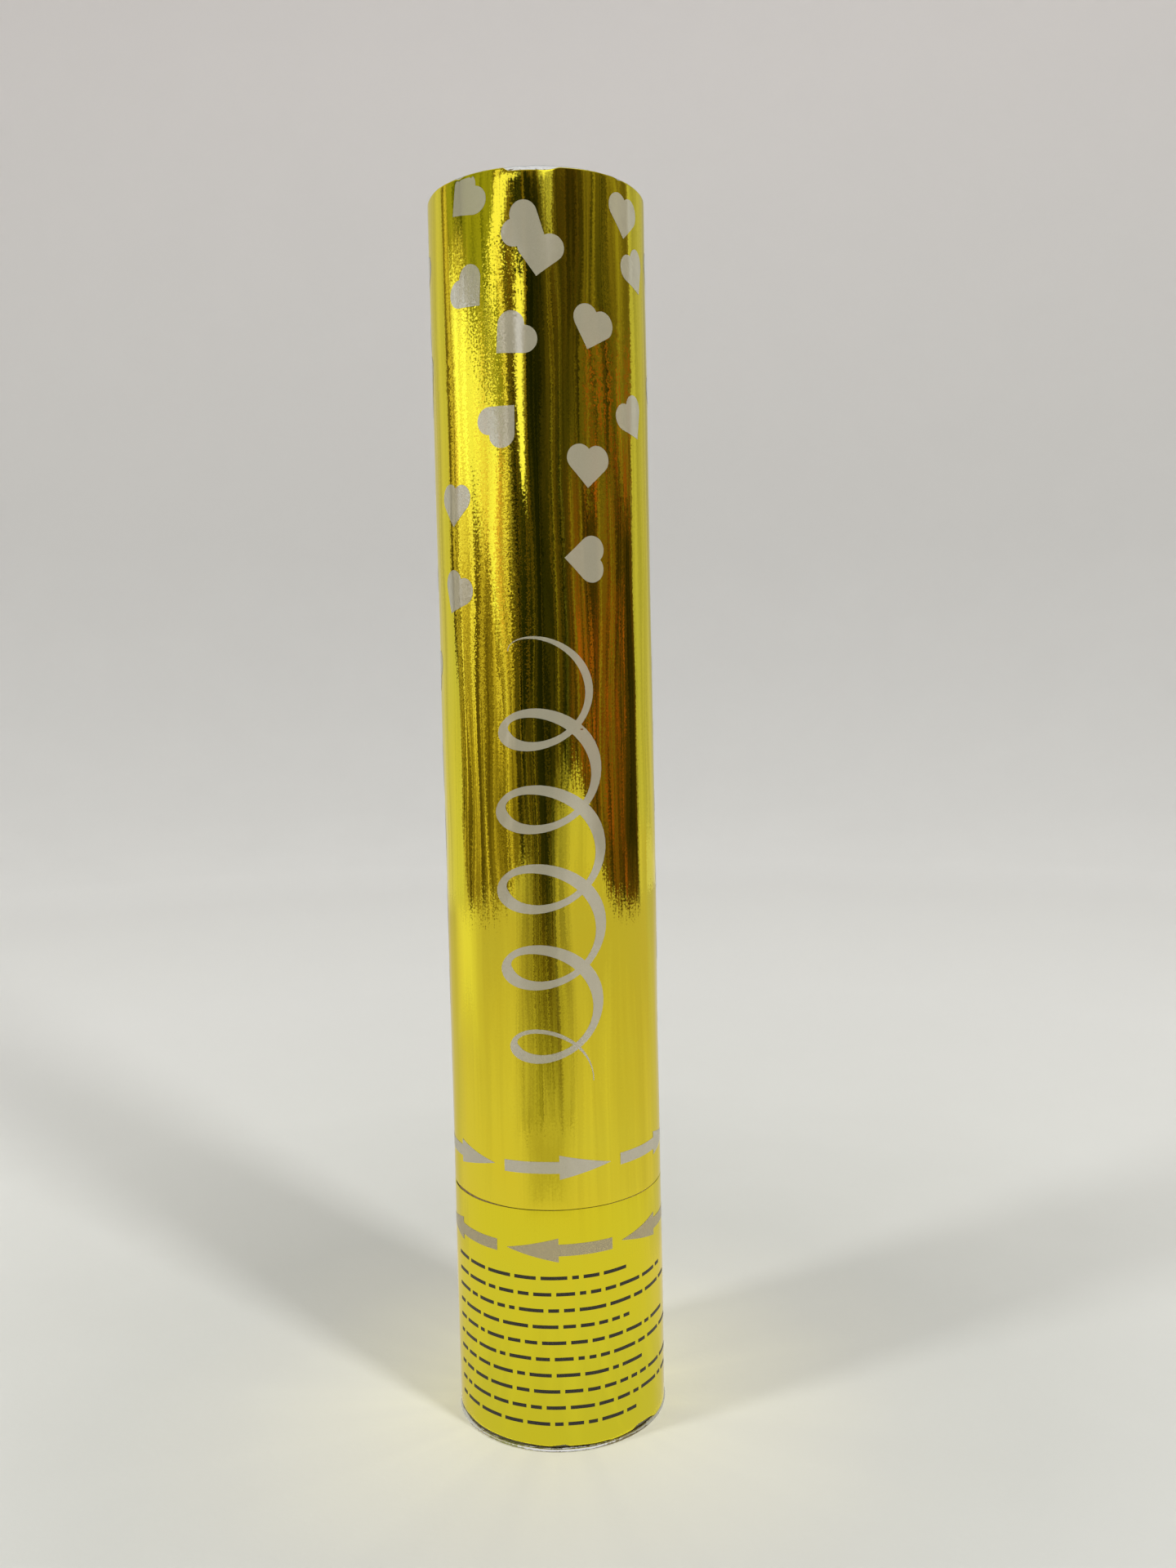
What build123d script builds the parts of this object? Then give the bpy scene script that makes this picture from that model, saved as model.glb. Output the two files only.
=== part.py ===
"""Twist-release confetti popper: a foil-wrapped paper tube standing on a twist base.

Turning the barrel on the base drives a cross pin up two helical cam slots. The pin lifts a valve plug
out of the neck of an aluminium air can, and the air pushes a card wad and paper confetti out of the
mouth. Millimetres, +Z up, origin on the floor at the centre of the base.
"""

import os
from math import pi, sqrt

from build123d import *

os.makedirs("parts", exist_ok=True)

# Outside of the popper
overall_height = 285.0
outer_diameter = 50.0  # over the printed wrap
base_height = 57.0  # floor to the middle of the twist seam
seam_gap = 0.5  # open line between base and barrel

# Paper tube and its skins
tube_wall = 1.5
wrap_thickness = 0.25
foil_thickness = 0.15
glue_line = 0.05  # left between a glued piece and what it is glued to
foil_skirt = 10.0  # length of silver foil folded along the tube
mouth_reveal = 0.7  # silver showing above the barrel wrap
foot_reveal = 0.8  # silver showing below the base wrap
tear_gap = 0.2  # line where the burst foil tears from the rim

# Pivot between base and barrel
pivot_clearance = 0.1
pivot_wall = 1.5
pivot_reach = 26.0  # depth of the sleeve inside the base
running_gap = 0.2  # end play between turning faces

# Card discs
foot_card_thickness = 2.0
mouth_card_thickness = 1.5
wad_thickness = 2.0
card_clearance = 0.25

# Cradle that holds the can in the base
cradle_floor = 2.0
cradle_depth = 14.0
cradle_wall = 1.4
cradle_rib = 1.2
cradle_rib_count = 8
cradle_ledge = 4.5  # floor left inside the can's standing ring
cradle_lead_in = 0.6

# Aluminium air can
can_clearance = 1.75  # between the can and the launch head's skirt
can_wall = 0.8
can_length = 58.0  # standing ring to the start of the shoulder
can_shoulder = 11.0
can_foot_radius = 3.0
can_stand_width = 1.5
can_dome = 5.0  # rise of the pushed-in bottom
land_width = 3.3  # flat ring round the foot of the neck
neck_bore = 15.0
neck_wall = 1.2
neck_length = 18.0
neck_chamfer = 0.5

# Rubber plug that the can is filled through
fill_hole = 6.0
fill_flange = 1.2
fill_lip = 2.0

# Launch head
washer_thickness = 1.0
head_floor = 4.0
head_wall = 1.6
head_skirt = 14.0  # below the floor
head_rib = 1.4
head_rib_count = 6
head_rib_drop = 4.0  # ribs stop this far below the wad
neck_clearance = 0.08
seal_width = 1.8
seal_depth = 1.5
cage_clearance = 0.4
cage_wall = 2.2
head_lead_in = 0.6

# Cam collar and valve plug
collar_wall = 2.6
twist_angle = 120.0
valve_lift = 5.0
pin_diameter = 3.0
pin_clearance = 0.3
pin_inset = 0.5  # pin ends below the outside of the cage
pin_chamfer = 0.3
pin_margin = 0.5  # cam slot above the rim of the neck
cam_bridge = 2.6  # collar left above the cam slots
collar_lead_in = 0.5
wad_room = 1.5  # head above the collar
ring_section = 2.0
ring_depth = 1.2  # o-ring below the rim of the neck
ring_clearance = 0.03
groove_play = 0.3
plug_clearance = 0.15
plug_tail = 6.0
plug_fin = 2.0
plug_land = 1.2  # wall on each side of the o-ring groove
plug_cap = 3.5  # top of the plug above the pin
plug_cap_chamfer = 1.5

# Confetti
slip_width = 17.0
confetti_layers = 3
confetti_headroom = 11.2  # air between the confetti and the mouth card
bundle_leaves = 6
bundle_gap = 0.4
leaf_shift = 0.3
bore_room = 0.4  # between a bundle's corner and the bore
stack_gap = 0.2

# Radii of the nested tubes and skins
outer_r = outer_diameter / 2
skirt_r = outer_r - wrap_thickness - glue_line
skirt_in_r = skirt_r - foil_thickness
tube_r = skirt_in_r - glue_line
bore_r = tube_r - tube_wall
pivot_r = bore_r - pivot_clearance
pivot_in_r = pivot_r - pivot_wall
card_r = bore_r - card_clearance
head_r = pivot_in_r - glue_line

# Heights of the base and the can
base_top = base_height - seam_gap / 2
barrel_low = base_height + seam_gap / 2
barrel_top = overall_height - foil_thickness
foot_card_top = foil_thickness + foot_card_thickness
can_low = foot_card_top + cradle_floor
can_body_top = can_low + can_length
land_z = can_body_top + can_shoulder
neck_top = land_z + neck_length

# Radii of the can and its neck
can_r = head_r - head_wall - can_clearance
neck_in_r = neck_bore / 2
neck_r = neck_in_r + neck_wall
land_r = neck_r + land_width
fill_r = fill_hole / 2
stand_r = can_r - can_foot_radius - can_stand_width
dome_r = (stand_r**2 + can_dome**2) / (2 * can_dome)
dome_centre_z = can_low + can_dome - dome_r

# Heights and radii of the launch head and cam
washer_top = land_z + washer_thickness
head_low = washer_top + running_gap
head_floor_top = head_low + head_floor
collar_low = head_floor_top + running_gap
cam_slot = pin_diameter + 2 * pin_clearance
pin_z = neck_top + pin_margin + cam_slot / 2
collar_top = pin_z + valve_lift + cam_slot / 2 + cam_bridge
head_top = collar_top + wad_room
collar_r = neck_r + collar_wall
cam_r = neck_r + collar_wall / 2
cam_lead = valve_lift * 360 / twist_angle
cage_in_r = collar_r + cage_clearance
cage_r = cage_in_r + cage_wall

# Heights of the valve plug and the charge
ring_z = neck_top - ring_depth - ring_section / 2
ring_r = neck_in_r - ring_clearance - ring_section / 2
plug_r = neck_in_r - plug_clearance
plug_land_low = ring_z - ring_section / 2 - plug_land
plug_top = pin_z + plug_cap
wad_low = head_top + stack_gap
wad_top = wad_low + wad_thickness
mouth_card_low = barrel_top - mouth_card_thickness


def dome_height(radius, wall):
    """Height of the can's pushed-in bottom, `wall` above its outside, at a distance from the axis."""
    return dome_centre_z + sqrt((dome_r + wall) ** 2 - radius**2)


def straight_tube(low, high, inner, outer):
    """A plain tube standing on the axis, as a part."""
    with BuildPart() as tube:
        with BuildSketch(Plane.XY.offset(low)):
            Circle(outer)
            Circle(inner, mode=Mode.SUBTRACT)
        extrude(amount=high - low)
    return tube


def flat_disc(low, high, radius):
    """A plain disc on the axis, as a part."""
    with BuildPart() as plate:
        with BuildSketch(Plane.XY.offset(low)):
            Circle(radius)
        extrude(amount=high - low)
    return plate


# Paper tubes: base, barrel and the inner sleeve that joins them and lets them turn
base_tube = straight_tube(foil_thickness, base_top, bore_r, tube_r)
barrel_tube = straight_tube(barrel_low, barrel_top, bore_r, tube_r)
pivot_sleeve = straight_tube(base_height - pivot_reach, head_top, pivot_in_r, pivot_r)

# Card discs
foot_card = flat_disc(foil_thickness, foot_card_top, card_r)
mouth_card = flat_disc(mouth_card_low, barrel_top, card_r)
wad = flat_disc(wad_low, wad_top, card_r)

# Gold wrap of the base, stepped over the folded silver foil at the foot
with BuildPart() as base_wrap:
    with BuildSketch(Plane.XZ):
        with BuildLine():
            Polyline(
                (skirt_r + glue_line, foot_reveal),
                (outer_r, foot_reveal),
                (outer_r, base_top),
                (tube_r + glue_line, base_top),
                (tube_r + glue_line, foil_skirt + glue_line),
                (skirt_r + glue_line, foil_skirt + glue_line),
                close=True,
            )
        make_face()
    revolve(axis=Axis.Z)

# Gold wrap of the barrel, stepped over the folded silver foil at the mouth
with BuildPart() as barrel_wrap:
    with BuildSketch(Plane.XZ):
        with BuildLine():
            Polyline(
                (tube_r + glue_line, barrel_low),
                (outer_r, barrel_low),
                (outer_r, overall_height - mouth_reveal),
                (skirt_r + glue_line, overall_height - mouth_reveal),
                (skirt_r + glue_line, overall_height - foil_skirt - glue_line),
                (tube_r + glue_line, overall_height - foil_skirt - glue_line),
                close=True,
            )
        make_face()
    revolve(axis=Axis.Z)

# Silver foil under the foot, folded up round the base tube
with BuildPart() as foot_foil:
    with BuildSketch(Plane.XZ):
        with BuildLine():
            Polyline(
                (0, 0),
                (skirt_r, 0),
                (skirt_r, foil_skirt),
                (skirt_in_r, foil_skirt),
                (skirt_in_r, foil_thickness),
                (0, foil_thickness),
                close=True,
            )
        make_face()
    revolve(axis=Axis.Z)

# Silver foil rim left round the mouth when the burst foil tears out
with BuildPart() as mouth_foil_rim:
    with BuildSketch(Plane.XZ):
        with BuildLine():
            Polyline(
                (bore_r, barrel_top),
                (bore_r, overall_height),
                (skirt_r, overall_height),
                (skirt_r, overall_height - foil_skirt),
                (skirt_in_r, overall_height - foil_skirt),
                (skirt_in_r, barrel_top),
                close=True,
            )
        make_face()
    revolve(axis=Axis.Z)

# Silver foil across the mouth, which goes out with the confetti
burst_foil = flat_disc(barrel_top, overall_height, bore_r - tear_gap)

# Moulded cradle: a floor with a window, two walls and ribs between them, gripping the can
cradle_r = bore_r - glue_line
cradle_grip_r = can_r + glue_line
with BuildPart() as can_cradle:
    with BuildSketch(Plane.XY.offset(foot_card_top)):
        Circle(cradle_r)
        Circle(stand_r - cradle_ledge, mode=Mode.SUBTRACT)
    extrude(amount=cradle_floor)
    with BuildSketch(Plane.XY.offset(can_low)):
        Circle(cradle_r)
        Circle(cradle_r - cradle_wall, mode=Mode.SUBTRACT)
        Circle(cradle_grip_r + cradle_wall)
        Circle(cradle_grip_r, mode=Mode.SUBTRACT)
        rib_span = cradle_r - cradle_grip_r - cradle_wall
        with PolarLocations(cradle_grip_r + (rib_span + cradle_wall) / 2, cradle_rib_count):
            Rectangle(rib_span, cradle_rib)
    extrude(amount=cradle_depth - cradle_floor)
    cradle_mouth = can_cradle.edges().filter_by(GeomType.CIRCLE).group_by(Axis.Z)[-1]
    chamfer(cradle_mouth.sort_by(SortBy.RADIUS)[0], cradle_lead_in)

# Drawn aluminium can: pushed-in bottom, rounded foot, domed shoulder, flat land and open neck
inner_stand_r = sqrt((dome_r + can_wall) ** 2 - (dome_r - can_dome + can_wall) ** 2)
inner_stand_z = can_low + can_wall
with BuildPart() as air_can:
    with BuildSketch(Plane.XZ):
        with BuildLine():
            ThreePointArc(
                (fill_r, dome_height(fill_r, 0)),
                (stand_r / 2, dome_height(stand_r / 2, 0)),
                (stand_r, can_low),
            )
            Line((stand_r, can_low), (can_r - can_foot_radius, can_low))
            CenterArc((can_r - can_foot_radius, can_low + can_foot_radius), can_foot_radius, -90, 90)
            Line((can_r, can_low + can_foot_radius), (can_r, can_body_top))
            EllipticalCenterArc((land_r, can_body_top), can_r - land_r, can_shoulder)
            Polyline(
                (land_r, land_z),
                (neck_r, land_z),
                (neck_r, neck_top),
                (neck_in_r + neck_chamfer, neck_top),
                (neck_in_r, neck_top - neck_chamfer),
                (neck_in_r, land_z - can_wall),
                (land_r, land_z - can_wall),
            )
            EllipticalCenterArc(
                (land_r, can_body_top),
                can_r - can_wall - land_r,
                can_shoulder - can_wall,
            )
            Line((can_r - can_wall, can_body_top), (can_r - can_wall, can_low + can_foot_radius))
            CenterArc(
                (can_r - can_foot_radius, can_low + can_foot_radius),
                can_foot_radius - can_wall,
                -90,
                90,
            )
            Line((can_r - can_foot_radius, inner_stand_z), (inner_stand_r, inner_stand_z))
            ThreePointArc(
                (inner_stand_r, inner_stand_z),
                (inner_stand_r / 2, dome_height(inner_stand_r / 2, can_wall)),
                (fill_r, dome_height(fill_r, can_wall)),
            )
            Line((fill_r, dome_height(fill_r, can_wall)), (fill_r, dome_height(fill_r, 0)))
        make_face()
    revolve(axis=Axis.Z)

# Rubber fill plug: an outer flange, a stem through the can's bottom and an inner lip
fill_flange_r = fill_r + fill_lip
fill_stem_r = fill_r - glue_line
fill_flange_top = dome_height(fill_flange_r, 0) - glue_line
fill_lip_low = dome_height(fill_r, can_wall) + glue_line
with BuildPart() as fill_plug:
    with BuildSketch(Plane.XZ):
        with BuildLine():
            Polyline(
                (0, fill_flange_top - fill_flange),
                (fill_flange_r, fill_flange_top - fill_flange),
                (fill_flange_r, fill_flange_top),
                (fill_stem_r, fill_flange_top),
                (fill_stem_r, fill_lip_low),
                (fill_r + fill_lip / 2, fill_lip_low),
                (fill_stem_r, fill_lip_low + fill_lip),
                (0, fill_lip_low + fill_lip),
                close=True,
            )
        make_face()
    revolve(axis=Axis.Z)

# Slip washer between the can's land and the launch head
thrust_washer = straight_tube(land_z, washer_top, neck_r + neck_clearance, land_r)

# Launch head: bulkhead on the neck, wall in the sleeve, ribs, and a slotted cage round the cam collar
seal_groove_r = neck_r + neck_clearance + seal_depth
seal_low = head_low + (head_floor - seal_width) / 2
with BuildPart() as launch_head:
    with BuildSketch(Plane.XY.offset(head_low)):
        Circle(head_r)
        Circle(neck_r + neck_clearance, mode=Mode.SUBTRACT)
    extrude(amount=head_floor)
    with BuildSketch(Plane.XY.offset(head_low - head_skirt)):
        Circle(head_r)
        Circle(head_r - head_wall, mode=Mode.SUBTRACT)
    extrude(amount=head_top - head_low + head_skirt)
    with BuildSketch(Plane.XY.offset(head_floor_top)):
        Circle(cage_r)
        Circle(cage_in_r, mode=Mode.SUBTRACT)
    extrude(amount=head_top - head_floor_top)
    with BuildSketch(Plane.XY.offset(head_floor_top)):
        rib_length = head_r - head_wall - cage_r
        half_step = 180 / head_rib_count
        with PolarLocations(cage_r + rib_length / 2, head_rib_count, start_angle=half_step):
            Rectangle(rib_length + head_wall, head_rib)
    extrude(amount=head_top - head_rib_drop - head_floor_top)
    with BuildSketch(Plane.XY.offset(seal_low)):
        Circle(seal_groove_r)
    extrude(amount=seal_width, mode=Mode.SUBTRACT)
    with BuildSketch(Plane.YZ):
        with Locations((0, pin_z + valve_lift / 2)):
            SlotCenterToCenter(valve_lift, cam_slot, rotation=90)
    extrude(amount=cage_r + head_wall, both=True, mode=Mode.SUBTRACT)
    skirt_end = launch_head.edges().filter_by(GeomType.CIRCLE).group_by(Axis.Z)[0]
    chamfer(skirt_end.sort_by(SortBy.RADIUS)[-1], head_lead_in)

# Rubber seal in the bulkhead, round the neck
neck_seal = straight_tube(
    seal_low + glue_line,
    seal_low + seal_width - glue_line,
    neck_r + ring_clearance,
    seal_groove_r - glue_line,
)

# One helical cam slot with round ends, swept along the path of the cross pin
with BuildPart() as cam_cutter:
    with BuildLine() as cam_path:
        Helix(pitch=cam_lead, height=valve_lift, radius=cam_r, center=(0, 0, pin_z))
    with BuildSketch(Plane(origin=cam_path.line @ 0, x_dir=(1, 0, 0), z_dir=cam_path.line % 0)):
        Rectangle(2 * collar_wall, cam_slot)
    sweep(path=cam_path.line, is_frenet=True)
    slot_ends = (
        Location((0, 0, pin_z)),
        Location((0, 0, pin_z + valve_lift), (0, 0, twist_angle)),
    )
    with Locations(*slot_ends):
        with Locations((cam_r, 0, 0)):
            Cylinder(cam_slot / 2, 2 * collar_wall, rotation=(0, 90, 0))

# Cam collar pressed on the neck, with two cam slots half a turn apart
with BuildPart() as cam_collar:
    with BuildSketch(Plane.XY.offset(collar_low)):
        Circle(collar_r)
        Circle(neck_r + glue_line, mode=Mode.SUBTRACT)
    extrude(amount=collar_top - collar_low)
    collar_foot = cam_collar.edges().group_by(Axis.Z)[0].sort_by(SortBy.RADIUS)[0]
    collar_rim = cam_collar.edges().group_by(Axis.Z)[-1].sort_by(SortBy.RADIUS)[-1]
    chamfer((collar_foot, collar_rim), collar_lead_in)
    with PolarLocations(0, 2):
        add(cam_cutter.part, mode=Mode.SUBTRACT)

# Valve plug: finned tail in the neck, grooved land for the o-ring, and a drilled cap
groove_half = (ring_section + groove_play) / 2
groove_r = ring_r - ring_section / 2 - ring_clearance
with BuildPart() as valve_plug:
    with BuildSketch(Plane.XY.offset(plug_land_low - plug_tail)):
        Circle(plug_r)
        with BuildSketch(mode=Mode.INTERSECT):
            Rectangle(2 * plug_r, plug_fin)
            Rectangle(plug_fin, 2 * plug_r)
    extrude(amount=plug_tail)
    with BuildSketch(Plane.XZ):
        with BuildLine():
            Polyline(
                (0, plug_land_low),
                (plug_r, plug_land_low),
                (plug_r, ring_z - groove_half),
                (groove_r, ring_z - groove_half),
                (groove_r, ring_z + groove_half),
                (plug_r, ring_z + groove_half),
                (plug_r, plug_top - plug_cap_chamfer),
                (plug_r - plug_cap_chamfer, plug_top),
                (0, plug_top),
                close=True,
            )
        make_face()
    revolve(axis=Axis.Z)
    with Locations((0, 0, pin_z)):
        Cylinder(
            pin_diameter / 2 + ring_clearance, 2 * outer_r, rotation=(0, 90, 0), mode=Mode.SUBTRACT
        )

# Rubber o-ring that seals the plug in the neck
with BuildPart() as plug_ring:
    with Locations((0, 0, ring_z)):
        Torus(ring_r, ring_section / 2)

# Steel cross pin through the plug, the cam slots and the cage
with BuildPart() as cross_pin:
    with Locations((0, 0, pin_z)):
        Cylinder(pin_diameter / 2, 2 * (cage_r - pin_inset), rotation=(0, 90, 0))
    chamfer(cross_pin.edges().filter_by(GeomType.CIRCLE), pin_chamfer)

pieces = {
    "base_tube": base_tube,
    "base_wrap": base_wrap,
    "foot_foil": foot_foil,
    "foot_card": foot_card,
    "can_cradle": can_cradle,
    "air_can": air_can,
    "fill_plug": fill_plug,
    "thrust_washer": thrust_washer,
    "cam_collar": cam_collar,
    "barrel_tube": barrel_tube,
    "barrel_wrap": barrel_wrap,
    "mouth_foil_rim": mouth_foil_rim,
    "pivot_sleeve": pivot_sleeve,
    "launch_head": launch_head,
    "neck_seal": neck_seal,
    "valve_plug": valve_plug,
    "plug_ring": plug_ring,
    "cross_pin": cross_pin,
    "wad": wad,
    "mouth_card": mouth_card,
    "burst_foil": burst_foil,
}

# Confetti: bundles of paper slips on end, four to a layer, cut so that the layers fill the barrel up to the
# headroom, and as deep as the bore lets their corners be
layer_pitch = (mouth_card_low - wad_top - confetti_headroom) / confetti_layers
slip_length = layer_pitch - stack_gap
bundle_corner_r = bore_r - bore_room
bundle_far_x = slip_width + bundle_gap / 2 + leaf_shift
bundle_depth = sqrt(bundle_corner_r**2 - bundle_far_x**2) - bundle_gap / 2
leaf_depth = bundle_depth / bundle_leaves
quarters = ((-1, -1), (1, -1), (1, 1), (-1, 1))
for layer in range(confetti_layers):
    layer_low = wad_top + stack_gap + layer * layer_pitch
    for quarter, (x_side, y_side) in enumerate(quarters):
        with BuildPart() as confetti_bundle:
            for leaf in range(bundle_leaves):
                shift = leaf_shift if leaf % 2 else 0
                leaf_x = bundle_gap / 2 + slip_width / 2 + shift
                leaf_y = bundle_gap / 2 + (leaf + 0.5) * leaf_depth
                with Locations((x_side * leaf_x, y_side * leaf_y, layer_low + slip_length / 2)):
                    Box(slip_width, leaf_depth, slip_length)
        pieces[f"confetti_bundle_{layer * len(quarters) + quarter + 1}"] = confetti_bundle

for name, piece in pieces.items():
    piece.part.label = name
    export_step(piece.part, f"parts/{name}.step")

cam_slope = cam_lead / (2 * pi * cam_r)
print(f"pieces {len(pieces)}, bore {2 * bore_r:.1f}, head top {head_top:.2f}, cam slope {cam_slope:.2f}")
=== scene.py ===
# %% [markdown]
# # A twist-release confetti popper
# The real object is a paper tube in mirror-bright gold foil that stands on a twist base of the same width.
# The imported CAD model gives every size, so it is loaded first and stays where it is: the pieces below are dressed
# over it and ride on its moving bodies.

import math
import random

import bmesh
import bpy
from mathutils import Matrix, Vector, noise


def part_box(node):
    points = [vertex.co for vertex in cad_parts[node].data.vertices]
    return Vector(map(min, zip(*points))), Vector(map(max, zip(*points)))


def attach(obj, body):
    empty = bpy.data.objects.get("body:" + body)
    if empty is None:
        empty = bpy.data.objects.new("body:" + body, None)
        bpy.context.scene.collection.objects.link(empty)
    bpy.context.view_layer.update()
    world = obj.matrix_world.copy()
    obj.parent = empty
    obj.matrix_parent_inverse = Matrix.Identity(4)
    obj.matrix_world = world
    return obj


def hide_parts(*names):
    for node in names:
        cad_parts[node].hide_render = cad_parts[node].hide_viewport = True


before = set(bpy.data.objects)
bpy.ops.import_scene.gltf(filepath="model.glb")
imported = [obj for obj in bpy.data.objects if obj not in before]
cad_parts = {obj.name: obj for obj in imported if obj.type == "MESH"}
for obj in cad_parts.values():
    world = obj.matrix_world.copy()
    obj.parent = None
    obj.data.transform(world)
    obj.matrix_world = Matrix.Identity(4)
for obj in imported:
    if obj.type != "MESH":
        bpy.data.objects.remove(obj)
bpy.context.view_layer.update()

# %% [markdown]
# ## Sizes
# Every length below is in millimetres, as a maker would say it, and is turned into metres where a mesh is made.
# The radius and the ends of each half are read from the CAD nodes, so the dressing follows the solids.

# %% Read the sizes from the CAD nodes
MM = 0.001


def round_node(node):
    """The radius, foot and top of a round node, in millimetres."""
    low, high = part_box(node)
    return (high.x - low.x) / 2 / MM, low.z / MM, high.z / MM


wrap_radius, barrel_low, barrel_top = round_node("barrel_wrap")
base_low, base_top = round_node("base_wrap")[1:]
tube_top = round_node("mouth_foil_rim")[2]
print("wrap radius %.2f, seam %.2f to %.2f, mouth %.2f" % (wrap_radius, base_top, barrel_low, tube_top))

# %% [markdown]
# ## Camera
# The picture was taken from close by with a wide lens: the rim at the top is seen from below and the foot from
# above. A fit of the tube's edges and ellipses gave the place of the camera, its three turns and its focal length.

# %% Set the camera
CAMERA_PLACE = Vector((0.0, -0.3116, 0.1735))
CAMERA_YAW = math.radians(-1.701)
CAMERA_PITCH = math.radians(-4.132)
CAMERA_ROLL = math.radians(1.196)
PICTURE_HEIGHT = 1920
FOCAL_PIXELS = 1601.5
SENSOR = 36.0

scene = bpy.context.scene
camera_data = bpy.data.cameras.new("camera")
camera_data.sensor_width = SENSOR
camera_data.lens = FOCAL_PIXELS * SENSOR / PICTURE_HEIGHT
camera = bpy.data.objects.new("camera", camera_data)
scene.collection.objects.link(camera)
turns = (
    Matrix.Rotation(CAMERA_YAW, 4, "Z")
    @ Matrix.Rotation(CAMERA_PITCH, 4, "X")
    @ Matrix.Rotation(CAMERA_ROLL, 4, "Y")
    @ Matrix.Rotation(math.pi / 2, 4, "X")
)
camera.matrix_world = Matrix.Translation(CAMERA_PLACE) @ turns
scene.camera = camera
scene.view_settings.view_transform = "Standard"
print("lens %.2f mm" % camera_data.lens)

# %% [markdown]
# ## Helpers for nodes
# Materials and Geometry Nodes trees are both graphs, so one helper adds a node to either: settings go on the node,
# and each input gets a number or the output of another node. The others are the few steps that come up again and
# again, with a maker's name for each.

# %% Node helpers


def fill(tree, node, inputs):
    """Give each of a node's inputs, by name or number, a value or another node's output."""
    for name, value in inputs.items():
        if isinstance(value, bpy.types.NodeSocket):
            tree.links.new(value, node.inputs[name])
        else:
            node.inputs[name].default_value = value


def add_node(tree, kind, inputs=None, **settings):
    """Add a node with its settings and inputs."""
    made = tree.nodes.new(kind)
    for name, value in settings.items():
        setattr(made, name, value)
    fill(tree, made, inputs or {})
    return made


def sums(tree, operation, *values):
    """One step of arithmetic on numbers."""
    return add_node(tree, "ShaderNodeMath", dict(enumerate(values)), operation=operation).outputs[0]


def vectors(tree, operation, *values):
    """One step of arithmetic on vectors."""
    return add_node(tree, "ShaderNodeVectorMath", dict(enumerate(values)), operation=operation).outputs[0]


def scaled(tree, vector, amount):
    """A vector times a number."""
    inputs = {"Vector": vector, "Scale": amount}
    return add_node(tree, "ShaderNodeVectorMath", inputs, operation="SCALE").outputs[0]


def vector_of(tree, **parts):
    """A vector from its X, Y and Z."""
    return add_node(tree, "ShaderNodeCombineXYZ", parts).outputs[0]


def parts_of(tree, vector):
    """The X, Y and Z of a vector."""
    return add_node(tree, "ShaderNodeSeparateXYZ", {0: vector}).outputs


def spread(tree, amount, low, high, start=0.0, end=1.0):
    """A value that goes from low to high while amount goes from start to end."""
    inputs = {"Value": amount, "From Min": start, "From Max": end, "To Min": low, "To Max": high}
    return add_node(tree, "ShaderNodeMapRange", inputs).outputs["Result"]


def colour_ramp(tree, amount, stops):
    """Colours in linear light along a value from 0 to 1; stops are (place, colour)."""
    ramp = add_node(tree, "ShaderNodeValToRGB", {"Fac": amount})
    points = ramp.color_ramp.elements
    while len(points) < len(stops):
        points.new(0.5)
    for point, (place, colour) in zip(points, stops):
        point.position = place
        point.color = (*colour, 1.0)
    return ramp.outputs["Color"]


# %% Helpers for materials


def new_finish(name):
    """A material with its Principled shader; returns the material, its tree and the shader."""
    material = bpy.data.materials.new(name)
    material.use_nodes = True
    tree = material.node_tree
    return material, tree, tree.nodes["Principled BSDF"]


def object_place(tree, size):
    """Object coordinates in units of size millimetres."""
    place = add_node(tree, "ShaderNodeTexCoord").outputs["Object"]
    return scaled(tree, place, 1 / (size * MM))


def grain(tree, place, detail=3.0, rough=0.55):
    """Noise from 0 to 1 at the given place."""
    inputs = {"Vector": place, "Scale": 1.0, "Detail": detail, "Roughness": rough}
    return add_node(tree, "ShaderNodeTexNoise", inputs).outputs["Fac"]


def flecks(tree, size, detail=3.0, rough=0.55, along=None):
    """Noise from 0 to 1 in flecks of size millimetres; along stretches them, as (x, y, z) shares."""
    place = object_place(tree, size)
    if along:
        place = vectors(tree, "MULTIPLY", place, along)
    return grain(tree, place, detail, rough)


def cells(tree, size, feature="F1"):
    """Distance in cells of size millimetres."""
    inputs = {"Vector": object_place(tree, size), "Scale": 1.0}
    return add_node(tree, "ShaderNodeTexVoronoi", inputs, feature=feature).outputs["Distance"]


def two_tone(deep, bright):
    """Ramp stops for noise that goes from a deep colour to a bright one."""
    return [(0.3, deep), (0.7, bright)]


def bump(tree, height, depth):
    """A normal for a surface raised by height, depth millimetres at most."""
    inputs = {"Height": height, "Strength": 1.0, "Distance": depth * MM}
    return add_node(tree, "ShaderNodeBump", inputs).outputs["Normal"]


# %% [markdown]
# ## Patterns that go round the tube
# Foil, print and wound paper all have a direction: up the tube or round it. Their patterns use the arc length round
# the tube and the height, worked out from Object coordinates, so they follow the piece when it turns. The place where
# the arc starts again is at the back, under the wrap's own glued lap.

# %% Arc length, height and streaks


def round_the_tube(tree):
    """Arc length from the front and height, in millimetres."""
    place = parts_of(tree, add_node(tree, "ShaderNodeTexCoord").outputs["Object"])
    turn = sums(tree, "ARCTAN2", place["X"], sums(tree, "MULTIPLY", place["Y"], -1.0))
    return sums(tree, "MULTIPLY", turn, wrap_radius), sums(tree, "DIVIDE", place["Z"], MM)


def distance(tree):
    """Distance from the middle of the foot, in millimetres."""
    return add_node(tree, "ShaderNodeVectorMath", {0: object_place(tree, 1)}, operation="LENGTH").outputs["Value"]


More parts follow.
